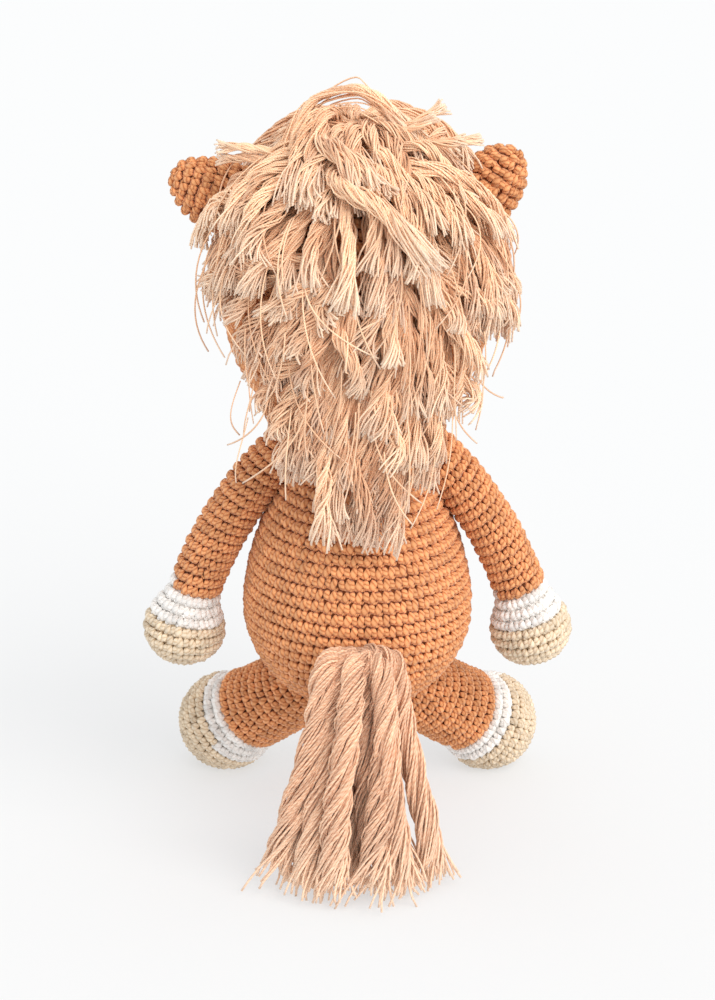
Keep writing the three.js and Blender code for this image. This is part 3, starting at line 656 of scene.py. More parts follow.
def plies_group():
    """The plies that wind round a strand: 1 on their crests, 0 in the grooves and at sunk edges, for the
    bump and for where painted shade goes.
    """
    tree, given, result = shader_group(
        "Yarn plies", {"Plies": 3.0, "Turns": 1.0, "Edges": 0.0}, {"Crest": 1.0, "Fibre": 0.5}
    )
    around, along = yarn_place(tree)
    wound = math_node(tree, "MULTIPLY", along, given["Turns"])
    wound = math_node(tree, "MULTIPLY_ADD", around, given["Plies"], wound)
    wound = math_node(tree, "SINE", math_node(tree, "MULTIPLY", wound, math.pi))
    crest = math_node(tree, "POWER", math_node(tree, "ABSOLUTE", wound), 0.6)
    # The sides of a strand sink between its neighbours, and the top of a stitch faces out; the sunk sides
    # lower the bump and take painted shade, as if shaded by the neighbouring strands.
    facing = math_node(tree, "COSINE", math_node(tree, "MULTIPLY", around, 2 * math.pi))
    facing = math_node(tree, "MULTIPLY_ADD", facing, 0.8, 0.4, clamp=True)
    sunk = math_node(tree, "MULTIPLY", math_node(tree, "SUBTRACT", 1.0, facing), given["Edges"])
    raised = math_node(tree, "SUBTRACT", 1.0, sunk)
    wire(tree, math_node(tree, "MULTIPLY", crest, raised), result["Crest"])
    wire(tree, noise(tree, 1600, 4, 0.7), result["Fibre"])
    return tree


def dye_and_shade_group():
    """A dyed yarn's colour, uneven from strand to strand and place to place, with painted shade in its
    grooves and a deeper painted shade on strands of low tone.
    """
    tree, given, result = shader_group(
        "Yarn dye",
        {"Yarn": WHITE, "Groove": WHITE, "Deep": WHITE, "Depth": 0.0, "Crest": 1.0, "Fibre": 0.5},
        {"Color": WHITE, "Roughness": 1.0},
    )
    tone = new_node(tree, "ShaderNodeAttribute", attribute_name="tone").outputs["Fac"]
    light = math_node(tree, "MULTIPLY_ADD", tone, 0.3, 0.83)
    patch = math_node(tree, "MULTIPLY_ADD", noise(tree, 45, 3), 0.2, 0.9)
    fibre = math_node(tree, "MULTIPLY_ADD", given["Fibre"], 0.22, 0.89)
    level = math_node(tree, "MULTIPLY", math_node(tree, "MULTIPLY", light, patch), fibre)
    grey = new_node(tree, "ShaderNodeCombineColor", {"Red": level, "Green": level, "Blue": level})
    # Strands of low tone take the deep colour, a painted shade for the inner yarn of the mane and tail.
    low = math_node(tree, "MULTIPLY", math_node(tree, "SUBTRACT", 1.0, tone), given["Depth"])
    # The grooves between the plies take the groove colour, a painted shade.
    dyed_and_shaded = mix_colours(tree, "MIX", given["Crest"], given["Groove"], given["Yarn"])
    dyed_and_shaded = mix_colours(tree, "MIX", low, dyed_and_shaded, given["Deep"])
    wire(tree, mix_colours(tree, "MULTIPLY", 1.0, dyed_and_shaded, grey.outputs[0]), result["Color"])
    wire(tree, math_node(tree, "MULTIPLY_ADD", given["Fibre"], 0.16, 0.8), result["Roughness"])
    return tree


def group_node(tree, name, inputs):
    """A node of a shared group, which is made the first time that a finish asks for it."""
    makers = {"Yarn plies": plies_group, "Yarn dye": dye_and_shade_group}
    shared = bpy.data.node_groups.get(name) or makers[name]()
    return new_node(tree, "ShaderNodeGroup", inputs, node_tree=shared).outputs


def shaded(colour_value, factor=1.0, power=1.0):
    """A colour with its alpha, made darker by a factor and richer by a power."""
    return tuple(c**power * factor for c in colour_value) + (1.0,)


def new_finish(name):
    """A new material, its tree and its shader."""
    material = bpy.data.materials.new(name)
    material.use_nodes = True
    return material, material.node_tree, material.node_tree.nodes["Principled BSDF"]


def made_once(maker):
    """Gives the material that already has a name, and otherwise makes it."""

    def finish(name, *values, **more):
        return bpy.data.materials.get(name) or maker(name, *values, **more)

    return finish


@made_once
def yarn_finish(name, yarn, plies, turns, relief, groove=0.5, tips=None, inner_depth=0.0, edges=0.0):
    """A matt cotton yarn with its plies, loose fibre and a soft sheen, and painted shade in its grooves
    and on its inner strands.
    """
    material, tree, shader = new_finish(name)
    wound = group_node(tree, "Yarn plies", {"Plies": plies, "Turns": turns, "Edges": edges})
    dyed_and_shaded = group_node(
        tree,
        "Yarn dye",
        {
            "Yarn": shaded(yarn),
            "Groove": shaded(yarn, groove, SHADE_RICHNESS),
            "Deep": shaded(yarn, 0.7, SHADE_RICHNESS**2),
            "Depth": inner_depth,
            "Crest": wound["Crest"],
            "Fibre": wound["Fibre"],
        },
    )
    colour_out = dyed_and_shaded["Color"]
    if tips is not None:
        ends = {"Value": yarn_place(tree)[1], "From Min": 0.72, "To Max": 0.65}
        end = new_node(tree, "ShaderNodeMapRange", ends, clamp=True)
        colour_out = mix_colours(tree, "MIX", end.outputs[0], colour_out, shaded(tips))
    height = math_node(tree, "MULTIPLY_ADD", wound["Fibre"], 0.35, wound["Crest"])
    bump = new_node(tree, "ShaderNodeBump", {"Strength": 0.6, "Distance": relief, "Height": height})
    feed(
        tree,
        shader,
        {
            "Base Color": colour_out,
            "Roughness": dyed_and_shaded["Roughness"],
            "Normal": bump.outputs[0],
            "Sheen Weight": 0.25,
            "Sheen Roughness": 0.5,
            "Specular IOR Level": 0.25,
        },
    )
    return material


@made_once
def fibre_and_shade_finish(name, dark, light):
    """Matted fibre, from the dark colour in its depths to the light one; the dark colour is painted shade
    in the depths of its bumps, and over the crochet's hollows both colours are painted shade.
    """
    material, tree, shader = new_finish(name)
    fibre = noise(tree, 700, 5)
    bump = new_node(tree, "ShaderNodeBump", {"Distance": 0.0004, "Height": fibre})
    matted = mix_colours(tree, "MIX", fibre, dark, light)
    feed(tree, shader, {"Base Color": matted, "Roughness": 0.95, "Normal": bump.outputs[0]})
    return material


@made_once
def plastic_finish(name, colour_value, roughness):
    """Moulded plastic with faint flow marks and fine scratches."""
    material, tree, shader = new_finish(name)
    marks = noise(tree, 400, 6)
    tinted = mix_colours(tree, "MIX", marks, shaded(colour_value), shaded(colour_value, 1.4))
    rough = math_node(tree, "MULTIPLY_ADD", marks, roughness, roughness / 2)
    feed(tree, shader, {"Base Color": tinted, "Roughness": rough, "Coat Weight": 0.4})
    return material


def crochet_finishes(kind):
    """A crochet yarn's finish, with painted shade in its grooves, and the painted shade on the sheet in
    the hollow behind it: caramel, white or beige.
    """
    yarn = getattr(settings().crochet, kind)
    shade = getattr(settings().crochet, f"{kind}_shade")
    # The hollow sheet's two colours are painted shade: the yarn made darker by its shade and richer by a
    # power.
    hollow = [shaded(yarn, shade * factor, SHADE_RICHNESS) for factor in (0.7, 1.1)]
    return [
        yarn_finish(f"{kind} crochet yarn", yarn, 2.0, 2.6, 0.0004, (1 + shade) / 2, edges=1.0),
        fibre_and_shade_finish(f"{kind} hollows", *hollow),
    ]


# Body


def body_radius_at(height):
    """The outside of the body at heights above its widest round."""
    body = settings().body
    below = np.clip(-height / body.lower_height, 0, 1)
    above = np.clip(height / body.upper_height, 0, 1)
    narrowed = body.radius - (body.radius - body.neck_radius) * above**body.taper_power
    return np.where(height < 0, body.radius * np.sqrt(1 - below**2), narrowed)


def body_middle():
    """The middle of the body's widest round."""
    return box_middle("body_cover", settings().body.upper_height)


def in_body(points):
    """How deep points lie inside the body, in metres; below zero outside it."""
    local = points - body_middle()
    radius = body_radius_at(local[..., 2])
    inside = radius - np.hypot(local[..., 0], local[..., 1])
    return np.where(local[..., 2] > settings().body.upper_height, -1.0, inside)


def at(place):
    return lambda points: points + place


class TOY_OT_crochet_body(bpy.types.Operator):
    """Crochets the body from its underside up to the neck"""

    bl_idname = "toy.crochet_body"
    bl_label = "Crochet Body"

    def execute(self, context):
        body = settings().body
        under = np.linspace(-math.pi / 2, 0, POINTS["body"])
        lower = np.stack([body.radius * np.cos(under), body.lower_height * np.sin(under)], 1)
        rise = np.linspace(0, body.upper_height, POINTS["body"])[1:]
        upper = np.stack([body_radius_at(rise), rise], 1)
        # The last round turns in over the edge of the neck.
        top = np.array([[body.neck_radius / 2, body.upper_height]])
        rounds = Rounds(np.concatenate([lower, upper, top]), at(body_middle()))
        ball = settings().leg.ball_radius - settings().crochet.strand_depth
        hips = [joint_place(f"hip_{side}") for side in SIDES]

        def keep(points):
            away = [np.linalg.norm(points - hip, axis=-1) > ball for hip in hips]
            return np.logical_and.reduce(away)

        crochet_cover(
            "body_crochet", "torso", "caramel", "body_cover", FILL_SHARES["body"], rounds,
            SEEDS["body"], keep=keep,
        )
        return {"FINISHED"}


# Limbs


def limb_radius_at(limb, along):
    start = limb.ball_radius + (limb.wrist_radius - limb.ball_radius) * along / limb.white_start
    grown = np.clip((along - limb.white_start) / (limb.length - limb.white_start), 0, 1)
    end = limb.wrist_radius + (limb.foot_radius - limb.wrist_radius) * (1 - np.cos(math.pi * grown)) / 2
    return np.where(along < limb.white_start, start, end)


def limb_outline(limb):
    """(radius, distance along the limb) from the end of the hoof back to the round end."""
    tip = np.linspace(math.pi / 2, 0, POINTS["hoof"])
    hoof = np.stack([limb.foot_radius * np.cos(tip), limb.length + limb.end_height * np.sin(tip)], 1)
    back = np.linspace(limb.length, 0, POINTS["limb"])[1:]
    stem = np.stack([limb_radius_at(limb, back), back], 1)
    root = np.linspace(0, math.pi / 2, POINTS["limb_end"])[1:]
    ball = np.stack([limb.ball_radius * np.cos(root), -limb.ball_radius * np.sin(root)], 1)
    return np.concatenate([hoof, stem, ball])


def turned_to(direction):
    """The turn that takes straight up to a direction."""
    return np.array(Vector(UP).rotation_difference(direction).to_matrix())


def crochet_limb(name, limb, place, seed, keep):
    """Crochets a limb's beige hoof, white band and caramel cover, as one piece each."""
    rounds = Rounds(limb_outline(limb), place)
    heights, places = rounds.outline[::-1, 1], rounds.places[::-1]
    hoof_end = np.interp(limb.hoof_start, heights, places)
    band_end = np.interp(limb.white_start, heights, places)
    sections = {
        "hoof": ("beige", (0, hoof_end)),
        "band": ("white", (hoof_end, band_end)),
        "cover": ("caramel", (band_end, rounds.length)),
    }
    for k, (section, (kind, span)) in enumerate(sections.items()):
        node = f"{name}_{section}"
        crochet_cover(
            f"{node}_crochet", name, kind, node, FILL_SHARES["limb"], rounds, seed + k, span=span,
            keep=keep, scale=settings().crochet.limb_tightness,
            plumpness=1.0 if kind == "caramel" else PLUMP,
        )


def arm_line(arm, shoulder_lean, along):
    """An arm's middle line leans out less and less: its lean, and how far it is out and down."""
    turn = (arm.hand_lean - shoulder_lean) / arm.length
    held = np.clip(along, 0, arm.length)
    lean = shoulder_lean + turn * held
    beyond = along - held
    out = (np.cos(shoulder_lean) - np.cos(lean)) / turn + beyond * np.sin(lean)
    down = (np.sin(lean) - np.sin(shoulder_lean)) / turn + beyond * np.cos(lean)
    return lean, out, down


def find_shoulder_lean(arm):
    """The smallest lean at the shoulder that keeps the arm clear of the body, found by halving."""
    shoulder = joint_place("shoulder_right") - body_middle()
    along = np.linspace(2 * arm.ball_radius, arm.length, POINTS["arm"])
    reach = limb_radius_at(arm, along) + arm.body_gap
    low, high = arm.hand_lean + math.radians(1), math.radians(80)
    for _ in range(20):
        middle = (low + high) / 2
        lean, out, down = arm_line(arm, middle, along)
        near = shoulder[0] + out - reach * np.cos(lean)
        height = shoulder[2] - down - reach * np.sin(lean)
        if (near >= body_radius_at(height)).all():
            high = middle
        else:
            low = middle
    return high


class TOY_OT_crochet_arms(bpy.types.Operator):
    """Crochets the two arms, which hang in an arc beside the body"""

    bl_idname = "toy.crochet_arms"
    bl_label = "Crochet Arms"

    def execute(self, context):
        arm = settings().arm
        lean_out = find_shoulder_lean(arm)
        for k, (side_name, side) in enumerate(SIDES.items()):
            shoulder = joint_place(f"shoulder_{side_name}")

            def bent(points, side=side, shoulder=shoulder):
                lean, out, down = arm_line(arm, lean_out, points[..., 2])
                across = points[..., 0]
                x = side * out - across * np.cos(lean)
                z = -down - across * side * np.sin(lean)
                return np.stack([x, points[..., 1], z], -1) + shoulder

            crochet_limb(
                f"arm_{side_name}", arm, bent, SEEDS["arms"] + 10 * k,
                lambda points: in_body(points) < settings().crochet.hollow_depth,
            )
        return {"FINISHED"}


class TOY_OT_crochet_legs(bpy.types.Operator):
    """Crochets the two legs, with the hoofs pressed flat where they stand"""

    bl_idname = "toy.crochet_legs"
    bl_label = "Crochet Legs"

    def execute(self, context):
        leg = settings().leg
        level = math.cos(leg.drop)
        for k, (side_name, side) in enumerate(SIDES.items()):
            hip = joint_place(f"hip_{side_name}")
            direction = Vector(
                (side * level * math.sin(leg.azimuth), level * math.cos(leg.azimuth), -math.sin(leg.drop))
            )

            def splayed(points, hip=hip, turn=turned_to(direction)):
                placed = points @ turn.T + hip
                placed[..., 2] = np.maximum(placed[..., 2], settings().crochet.hollow_depth / 2)
                return placed

            crochet_limb(
                f"leg_{side_name}", leg, splayed, SEEDS["legs"] + 10 * k,
                lambda points: in_body(points) < leg.ball_radius / 2,
            )
        return {"FINISHED"}


# Head


def head_middle():
    """The middle of the head, which the neck's hollow cuts from below."""
    return box_middle("head_cover", settings().head.half_height)


def egg_outline(radius, half_height):
    """(radius, height) from the bottom of an egg to its top."""
    turn = np.linspace(-math.pi / 2, math.pi / 2, POINTS["egg"])
    return np.stack([radius * np.cos(turn), half_height * np.sin(turn)], 1)


# How far the covers of the head reach into each other: the head's into the muzzle, the muzzle's
# and the ears' into the head, each as a share of the way out from that one's middle; and the part
# of the muzzle's outline that is worked.
COVER_SHARES = {"head_in_muzzle": 0.85, "muzzle_in_head": 0.97, "ear_in_head": 0.94, "muzzle": 0.62}


class TOY_OT_crochet_head(bpy.types.Operator):
    """Crochets the head from its underside to the crown"""

    bl_idname = "toy.crochet_head"
    bl_label = "Crochet Head"

    def execute(self, context):
        head = settings().head
        rounds = Rounds(egg_outline(head.radius, head.half_height), at(head_middle()))
        size = np.array([head.muzzle_half_width, head.muzzle_half_depth, head.muzzle_half_height])

        def clear_of_muzzle(points):
            away = np.linalg.norm((points - muzzle_middle()) / size, axis=-1)
            return away > COVER_SHARES["head_in_muzzle"]

        crochet_cover(
            "head_crochet", "head", "caramel", "head_cover", FILL_SHARES["head"], rounds,
            SEEDS["head"], keep=clear_of_muzzle,
        )
        return {"FINISHED"}


def muzzle_middle():
    head = settings().head
    return head_middle() + np.array([0, head.muzzle_forward, -head.muzzle_drop])


def in_head(points):
    """Below 1 inside the head, above 1 outside it."""
    head = settings().head
    local = (points - head_middle()) / np.array([head.radius, head.radius, head.half_height])
    return np.linalg.norm(local, axis=-1)


def across_and_above(out):
    """Two directions square to an outward one: level across it, and over it."""
    across = unit(np.cross(UP, out))
    return across, np.cross(out, across)


# Height of a nostril to its width
OVAL = 1.15


class TOY_OT_crochet_muzzle(bpy.types.Operator):
    """Crochets the muzzle round its own middle line and sews the nostrils"""

    bl_idname = "toy.crochet_muzzle"
    bl_label = "Crochet Muzzle"

    def execute(self, context):
        head = settings().head
        width, height = head.muzzle_half_width, head.muzzle_half_height
        middle = muzzle_middle()
        mean = (width + height) / 2

        def forwards(points):
            x = points[..., 0] * width / mean
            z = points[..., 1] * height / mean
            return np.stack([x, -points[..., 2], z], -1) + middle

        rounds = Rounds(egg_outline(mean, head.muzzle_half_depth), forwards)
        crochet_cover(
            "muzzle_crochet", "head", "beige", "muzzle_cover", FILL_SHARES["muzzle"], rounds,
            SEEDS["muzzle"], span=(0, rounds.length * COVER_SHARES["muzzle"]),
            keep=lambda points: in_head(points) > COVER_SHARES["muzzle_in_head"],
            scale=settings().crochet.limb_tightness,
        )
        for side_name in SIDES:
            self.sew_nostril(side_name)
        return {"FINISHED"}

    def sew_nostril(self, side_name):
        """Rows of satin stitch across a small oval."""
        head = settings().head
        middle = box_middle(f"nostril_{side_name}")
        out = unit(middle - muzzle_middle())
        across, above = across_and_above(out)
        rows = head.nostril_stitches
        arc = np.linspace(-1, 1, POINTS["satin"])[:, None]
        lift = head.nostril_rise * (1 - arc**2) - head.nostril_sink
        paths = []
        for row in range(rows):
            offset = (row - (rows - 1) / 2) / (rows / 2)
            half = head.nostril_radius * OVAL * math.sqrt(1 - offset**2)
            paths.append(middle + across * head.nostril_radius * offset + above * half * arc + out * lift)
        paths = np.array(paths)
        radii = np.full(paths.shape[:2], head.nostril_thread)
        work = Yarnwork()
        work.add(tubes_along(paths, radii, np.broadcast_to(out, paths.shape)), 0.5)
        thread = yarn_finish("dark thread", settings().crochet.thread, 2.0, 6.0, 0.0001, 0.6)
        piece = work.make(f"nostril_{side_name}_stitches", [thread])
        dress(piece, "head", "dark_thread", f"nostril_{side_name}")


# From the tip of an ear to its root, as shares of half its width and of its length
EAR_OUTLINE_SHARES = (
    (0, 1),
    (0.42, 0.94),
    (0.72, 0.81),
    (0.92, 0.64),
    (1, 0.45),
    (0.95, 0.27),
    (0.7, 0.08),
    (0.5, 0),
)
# How much less even the stitches of an ear are than those of the body
EAR_LUMPS = 2.2


class TOY_OT_crochet_ears(bpy.types.Operator):
    """Crochets the two ears from their tips to the head"""

    bl_idname = "toy.crochet_ears"
    bl_label = "Crochet Ears"

    def execute(self, context):
        head = settings().head
        leaf = eased(EAR_OUTLINE_SHARES, POINTS["ear"])
        outline = np.maximum(leaf, 0) * np.array([head.ear_width / 2, head.ear_length])
        squeeze = np.array([1, head.ear_thickness / head.ear_width, 1])
        surface = head.radius * math.sqrt(1 - (head.ear_rise / head.half_height) ** 2)
        for k, (side_name, side) in enumerate(SIDES.items()):
            lean = getattr(head, f"ear_lean_{side_name}")
            direction = Vector((side * math.sin(lean), 0, math.cos(lean)))
            root = head_middle() + np.array([side * surface, head.ear_forward, head.ear_rise])
            root = root - np.array(direction) * getattr(head, f"ear_root_{side_name}")

            def leaned(points, turn=turned_to(direction), root=root):
                return (points * squeeze) @ turn.T + root

            node = f"ear_{side_name}"
            crochet_cover(
                f"{node}_crochet", "head", "caramel", node, FILL_SHARES["ear"],
                Rounds(outline, leaned), SEEDS["ears"] + k, scale=settings().crochet.ear_tightness,
                keep=lambda points: in_head(points) > COVER_SHARES["ear_in_head"],
                lumps=EAR_LUMPS, plumpness=PLUMP,
            )
        return {"FINISHED"}


class TOY_OT_sew_neck(bpy.types.Operator):
    """Closes the neck with a round of stitches between the body and the head"""

    bl_idname = "toy.sew_neck"
    bl_label = "Sew Neck"

    def execute(self, context):
        body, head, crochet = settings().body, settings().head, settings().crochet
        middle = body_middle()
        bottom = body.upper_height - crochet.hollow_depth
        under_head = head_middle()[2] - middle[2] - head.half_height
        reach = body.neck_radius + crochet.hollow_depth
        top = under_head + head.half_height * (1 - math.sqrt(1 - (reach / head.radius) ** 2))
        outline = [
            (body.neck_radius - crochet.hollow_depth / 4, bottom),
            (body.neck_radius - crochet.hollow_depth / 2, (bottom + top) / 2),
            (reach, top),
        ]
        work = Yarnwork()
        crochet_onto(work, Rounds(eased(outline, POINTS["neck"]), at(middle)), SEEDS["neck"])
        piece = work.make("neck_seam", crochet_finishes("caramel"))
        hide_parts("neck_core")
        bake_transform(piece)
        return {"FINISHED"}


# An eye's outline from the inner end of its post to the foot of its dome, as shares of its radius
# and its height; then the dome's own foot and the width of its closed top.
EYE_OUTLINE_SHARES = ((0.35, -1.4), (0.35, 0.0), (0.94, 0.0), (1.0, 0.1))
EYE_DOME_SHARES = {"foot": 0.12, "top": 0.02}


class TOY_OT_set_eyes(bpy.types.Operator):
    """Turns the two glossy plastic eyes on their posts"""

    bl_idname = "toy.set_eyes"
    bl_label = "Set Eyes"

    def execute(self, context):
        for side_name in SIDES:
            washer = box_middle(f"eye_washer_{side_name}")
            out = unit(box_middle(f"eye_{side_name}") - washer)
            depth = (1 / in_head(washer) - 1) * np.linalg.norm(washer - head_middle())
            self.turn_eye(side_name, washer + out * depth, out)
        return {"FINISHED"}

    def turn_eye(self, side_name, surface, out):
        head = settings().head
        dome = np.linspace(0, math.pi / 2, POINTS["dome"])[:-1]
        foot, top = EYE_DOME_SHARES["foot"], EYE_DOME_SHARES["top"]
        curve = np.stack([np.cos(dome), foot + (1 - foot) * np.sin(dome)], 1)
        outline = np.concatenate([EYE_OUTLINE_SHARES, curve, [(top, 1)]])
        radius, height = (outline * (head.eye_radius, head.eye_height)).T[..., None, None]
        across, above = across_and_above(out)
        turn = 2 * math.pi * np.arange(RING_CORNERS)[:, None] / RING_CORNERS
        rings = surface + height * out + radius * (np.cos(turn) * across + np.sin(turn) * above)
        work = Yarnwork()
        work.add(rings[None], 0.5)
        black = plastic_finish("black eye plastic", (0.012, 0.01, 0.009), 0.06)
        piece = work.make(f"eye_{side_name}_dome", [black])
        dress(piece, "head", "eye_plastic", f"eye_{side_name}")


# Threads

# Points along the middle line of each
STEPS = {"lock": 18, "stray": 16, "crown": 22, "cord": 34, "roll": 16}


def tubes_along(paths, radii, outward, sides=4):
    """Rings of points round each path: paths is (tubes, steps, 3), and outward is off its line."""
    _, beside, over = line_frame(paths, outward)
    turn = 2 * math.pi * np.arange(sides) / sides
    ring = np.cos(turn)[:, None] * beside[:, :, None] + np.sin(turn)[:, None] * over[:, :, None]
    return paths[:, :, None] + radii[..., None, None] * ring


# How the threads of a cord or lock lie: over which part of its length it swells from its root,
# how much it still swells beyond, how much faster a ply winds than the whole, and how far a frayed
# thread strays sideways, outwards and along, to its radius.
TWIST_SHARES = {"root": 0.3, "swell": 0.15, "ply_twist": 1.6, "stray": (0.45, 0.4, 0.3)}
# How much thinner a thread is at its end, and from where on
THREAD_END_SHARES = {"thinning": 0.05, "start": 0.8}


def line_frame(paths, outward):
    """The directions along lines, beside them and over them; outward is off them."""
    ahead = unit(np.gradient(paths, axis=-2))
    beside = unit(np.cross(ahead, outward))
    return ahead, beside, np.cross(beside, ahead)


def twisted(line, outward, radius, yarn, rng, splay=1.0, flat=0.8, root=0.55, cut=0.06):
    """The threads of a cord or lock: they wind in plies round its line and fray at its end.

    yarn holds the counts and the twist, splay says how far the end opens, flat is the thickness to
    the width, root is the thickness at the start and cut is how unevenly the threads are cut.
    """
    steps = len(line)
    t = np.linspace(0, 1, steps)
    ahead, beside, over = line_frame(line, outward)
    run = np.linalg.norm(np.diff(line, axis=0), axis=1).sum()
    threads, plies = yarn.threads, yarn.plies
    ply = (np.arange(threads) % plies)[:, None]
    order = (np.arange(threads) // plies + 0.5)[:, None]
    loose = np.clip((t - 1 + yarn.fray_share) / yarn.fray_share, 0, 1)
    grown = np.clip(t / TWIST_SHARES["root"], 0, 1) ** 0.7
    held = root + (1 - root) * grown + TWIST_SHARES["swell"] * t
    # The twist eases to nothing where the end is loose.
    wound = -2 * math.pi * run / (yarn.twist_length * rng.uniform(0.85, 1.2))
    wound = wound * (t - 0.5 * yarn.fray_share * loose**2)
    ply_radius = 1 / (1 + 1 / math.sin(math.pi / max(plies, 2)))
    inside = ply_radius * np.sqrt(order * plies / threads)
    turn = 2 * math.pi * ply / plies + rng.uniform(0, 6) + wound
    own = order * GOLDEN_ANGLE + ply + TWIST_SHARES["ply_twist"] * wound
    opened = 1 + splay * loose**1.6
    wave = 2 * math.pi * t * rng.uniform(1, 2.8, (threads, 1)) + rng.uniform(0, 6, (threads, 1))
    wander = (yarn.wander * (0.4 + 0.6 * t) + yarn.fringe_wave * loose)[:, None]
    wander = wander * np.stack([np.sin(wave), np.cos(1.3 * wave)], -1)
    side = ((1 - ply_radius) * np.cos(turn) + inside * np.cos(own)) * held * opened + wander[..., 0]
    rise = ((1 - ply_radius) * np.sin(turn) + inside * np.sin(own)) * held * opened + wander[..., 1]
    stray = rng.standard_normal((threads, 1, 3)) * TWIST_SHARES["stray"]
    stray = stray * (loose**1.8 * splay)[None, :, None]
    paths = (
        line
        + radius * (side + stray[..., 0])[..., None] * beside
        + radius * flat * (rise + stray[..., 1])[..., None] * over
        + radius * stray[..., 2:3] * ahead
    )
    # Each thread is cut at its own length.
    place = t * rng.uniform(1 - cut, 1.0, (threads, 1)) * (steps - 1)
    low = np.minimum(place.astype(int), steps - 2)
    part = (place - low)[..., None]
    rows = np.arange(threads)[:, None]
    return paths[rows, low] * (1 - part) + paths[rows, low + 1] * part


def add_lock(work, line, outward, radius, yarn, rng, lock_tone_and_shade, sides=4, **more):
    """Adds one cord or lock along a line, with its tone, which for inner locks and cords is partly
    painted shade, and a little change from thread to thread.
    """
    paths = twisted(line, outward, radius, yarn, rng, **more)
    start = THREAD_END_SHARES["start"]
    at_end = np.clip((np.linspace(0, 1, paths.shape[1]) - start) / (1 - start), 0, 1)
    thinned = 1 - THREAD_END_SHARES["thinning"] * at_end
    radii = yarn.thread_radius * rng.uniform(0.85, 1.12, (yarn.threads, 1)) * thinned
    tones = np.clip(lock_tone_and_shade + 0.2 * rng.standard_normal(yarn.threads), 0, 1)
    work.add(tubes_along(paths, radii, np.broadcast_to(outward, paths.shape), sides), tones)


def add_stray(work, line, outward, thread_radius, rng):
    """Adds one loose thread along a line, thinner than those of a lock."""
    radii = np.full((1, len(line)), thread_radius * 0.8)
    work.add(tubes_along(line[None], radii, outward[None]), rng.uniform(0.4, 1, 1))


def make_loose(work, name, kind, node, body, bend=None):
    """Makes a piece of the loose cotton yarn of the mane or the tail."""
    yarn = getattr(settings(), kind)
    cotton = yarn_finish(
        f"{kind} cotton yarn", yarn.yarn, 2.0, 60.0, 0.00015, 0.9, yarn.tips, yarn.inner_depth
    )
    dress(work.make(name, [cotton]), body, f"{kind}_yarn", node, bend=bend)


# Mane

# For each tier: azimuths of its locks' nodes from straight behind, their width in degrees, and
# shares of the head's outline, from the crown down, where they start and end. The lifts are
# shares of the mane's thickness at the inner and outer face, from root to end.
MANE_TIER_SHARES = {
    "crown": {
        "azimuths": (15, 45, 72),
        "width": 30,
        "start": 0.21,
        "ends": (0.95, 1.02, 1.1),
        "left_shorter": (0, 0.04, 0.14),
        "inner": (0.0, 0.0, 0.0, 0.1, 0.5, 0.55, 0.6),
        "outer": (0.8, 1.0, 1.0, 1.0, 1.04, 1.0, 0.85),
    },
    "middle": {
        "azimuths": (13, 38, 62),
        "width": 25,
        "start": 0.66,
        "ends": (1.42, 1.42, 1.1),
        "left_shorter": (0, 0.12, 0.12),
        "inner": (0.0, 0.0, 0.0, 0.04, 0.24, 0.3, 0.34),
        "outer": (0.06, 0.28, 0.4, 0.44, 0.8, 0.85, 0.7),
    },
    "nape": {
        "azimuths": (12.5, 37),
        "width": 25,
        "start": 1.0,
        "ends": (1.98, 1.8),
        "left_shorter": (0, 0.1),
        "inner": (0.0, 0.0, 0.0, 0.04, 0.05, 0.06, 0.1),
        "outer": (0.04, 0.14, 0.18, 0.6, 0.7, 0.65, 0.5),
    },
}
FORELOCK_SHARES = {
    "width": 52,
    "start": 0.22,
    "end": 0.62,
    "inner": (0.0,) * 7,
    "outer": (0.5, 0.85, 0.9, 0.85, 0.8, 0.65, 0.5),
}


def mane_place(azimuth, down_share, lift):
    """Points over the head and their outward directions.

    azimuth is in degrees from straight behind, and down_share in quarters of the head's outline
    from the crown down. Past the hang share a lock leaves the head and falls.
    """
    head, mane = settings().head, settings().mane
    held = np.minimum(down_share, mane.hang_share)
    turn = held * math.pi / 2
    normal = unit(np.stack([np.sin(turn) / head.radius, np.cos(turn) / head.half_height], -1))
    fall = (down_share - held) * math.pi / 4 * (head.radius + head.half_height)
    out = head.radius * np.sin(turn) + lift * normal[..., 0] - fall * math.sin(mane.hang_lean)
    up = head.half_height * np.cos(turn) + lift * normal[..., 1] - fall * math.cos(mane.hang_lean)
    around = np.radians(azimuth)
    points = np.stack([out * np.sin(around), -out * np.cos(around), up], -1) + head_middle()
    outward = np.stack(
        [normal[..., 0] * np.sin(around), -normal[..., 0] * np.cos(around), normal[..., 1]], -1
    )
    return points, outward


# The layers of each tier from the head outwards: how full they are, where their locks start and
# end as shares of the tier's length, how high they lie between its faces, how their tips lift, how
# pale they are and how many degrees they keep clear of the parting. The paleness is painted shade:
# the inner layers are darker as if in the shade of the outer ones.
MANE_LAYER_SHARES = (
    {
        "fill": 0.85, "starts": (0.0, 0.1), "ends": (0.84, 1.08),
        "height": 0.1, "tip": 0.0, "tone": 0.25, "clear": 0,
    },
    {
        "fill": 0.85, "starts": (0.0, 0.15), "ends": (0.6, 1.04),
        "height": 0.55, "tip": 0.08, "tone": 0.5, "clear": 3,
    },
    {
        "fill": 0.85, "starts": (0.0, 0.2), "ends": (0.38, 0.98),
        "height": 1.0, "tip": 0.12, "tone": 0.8, "clear": 6,
    },
)


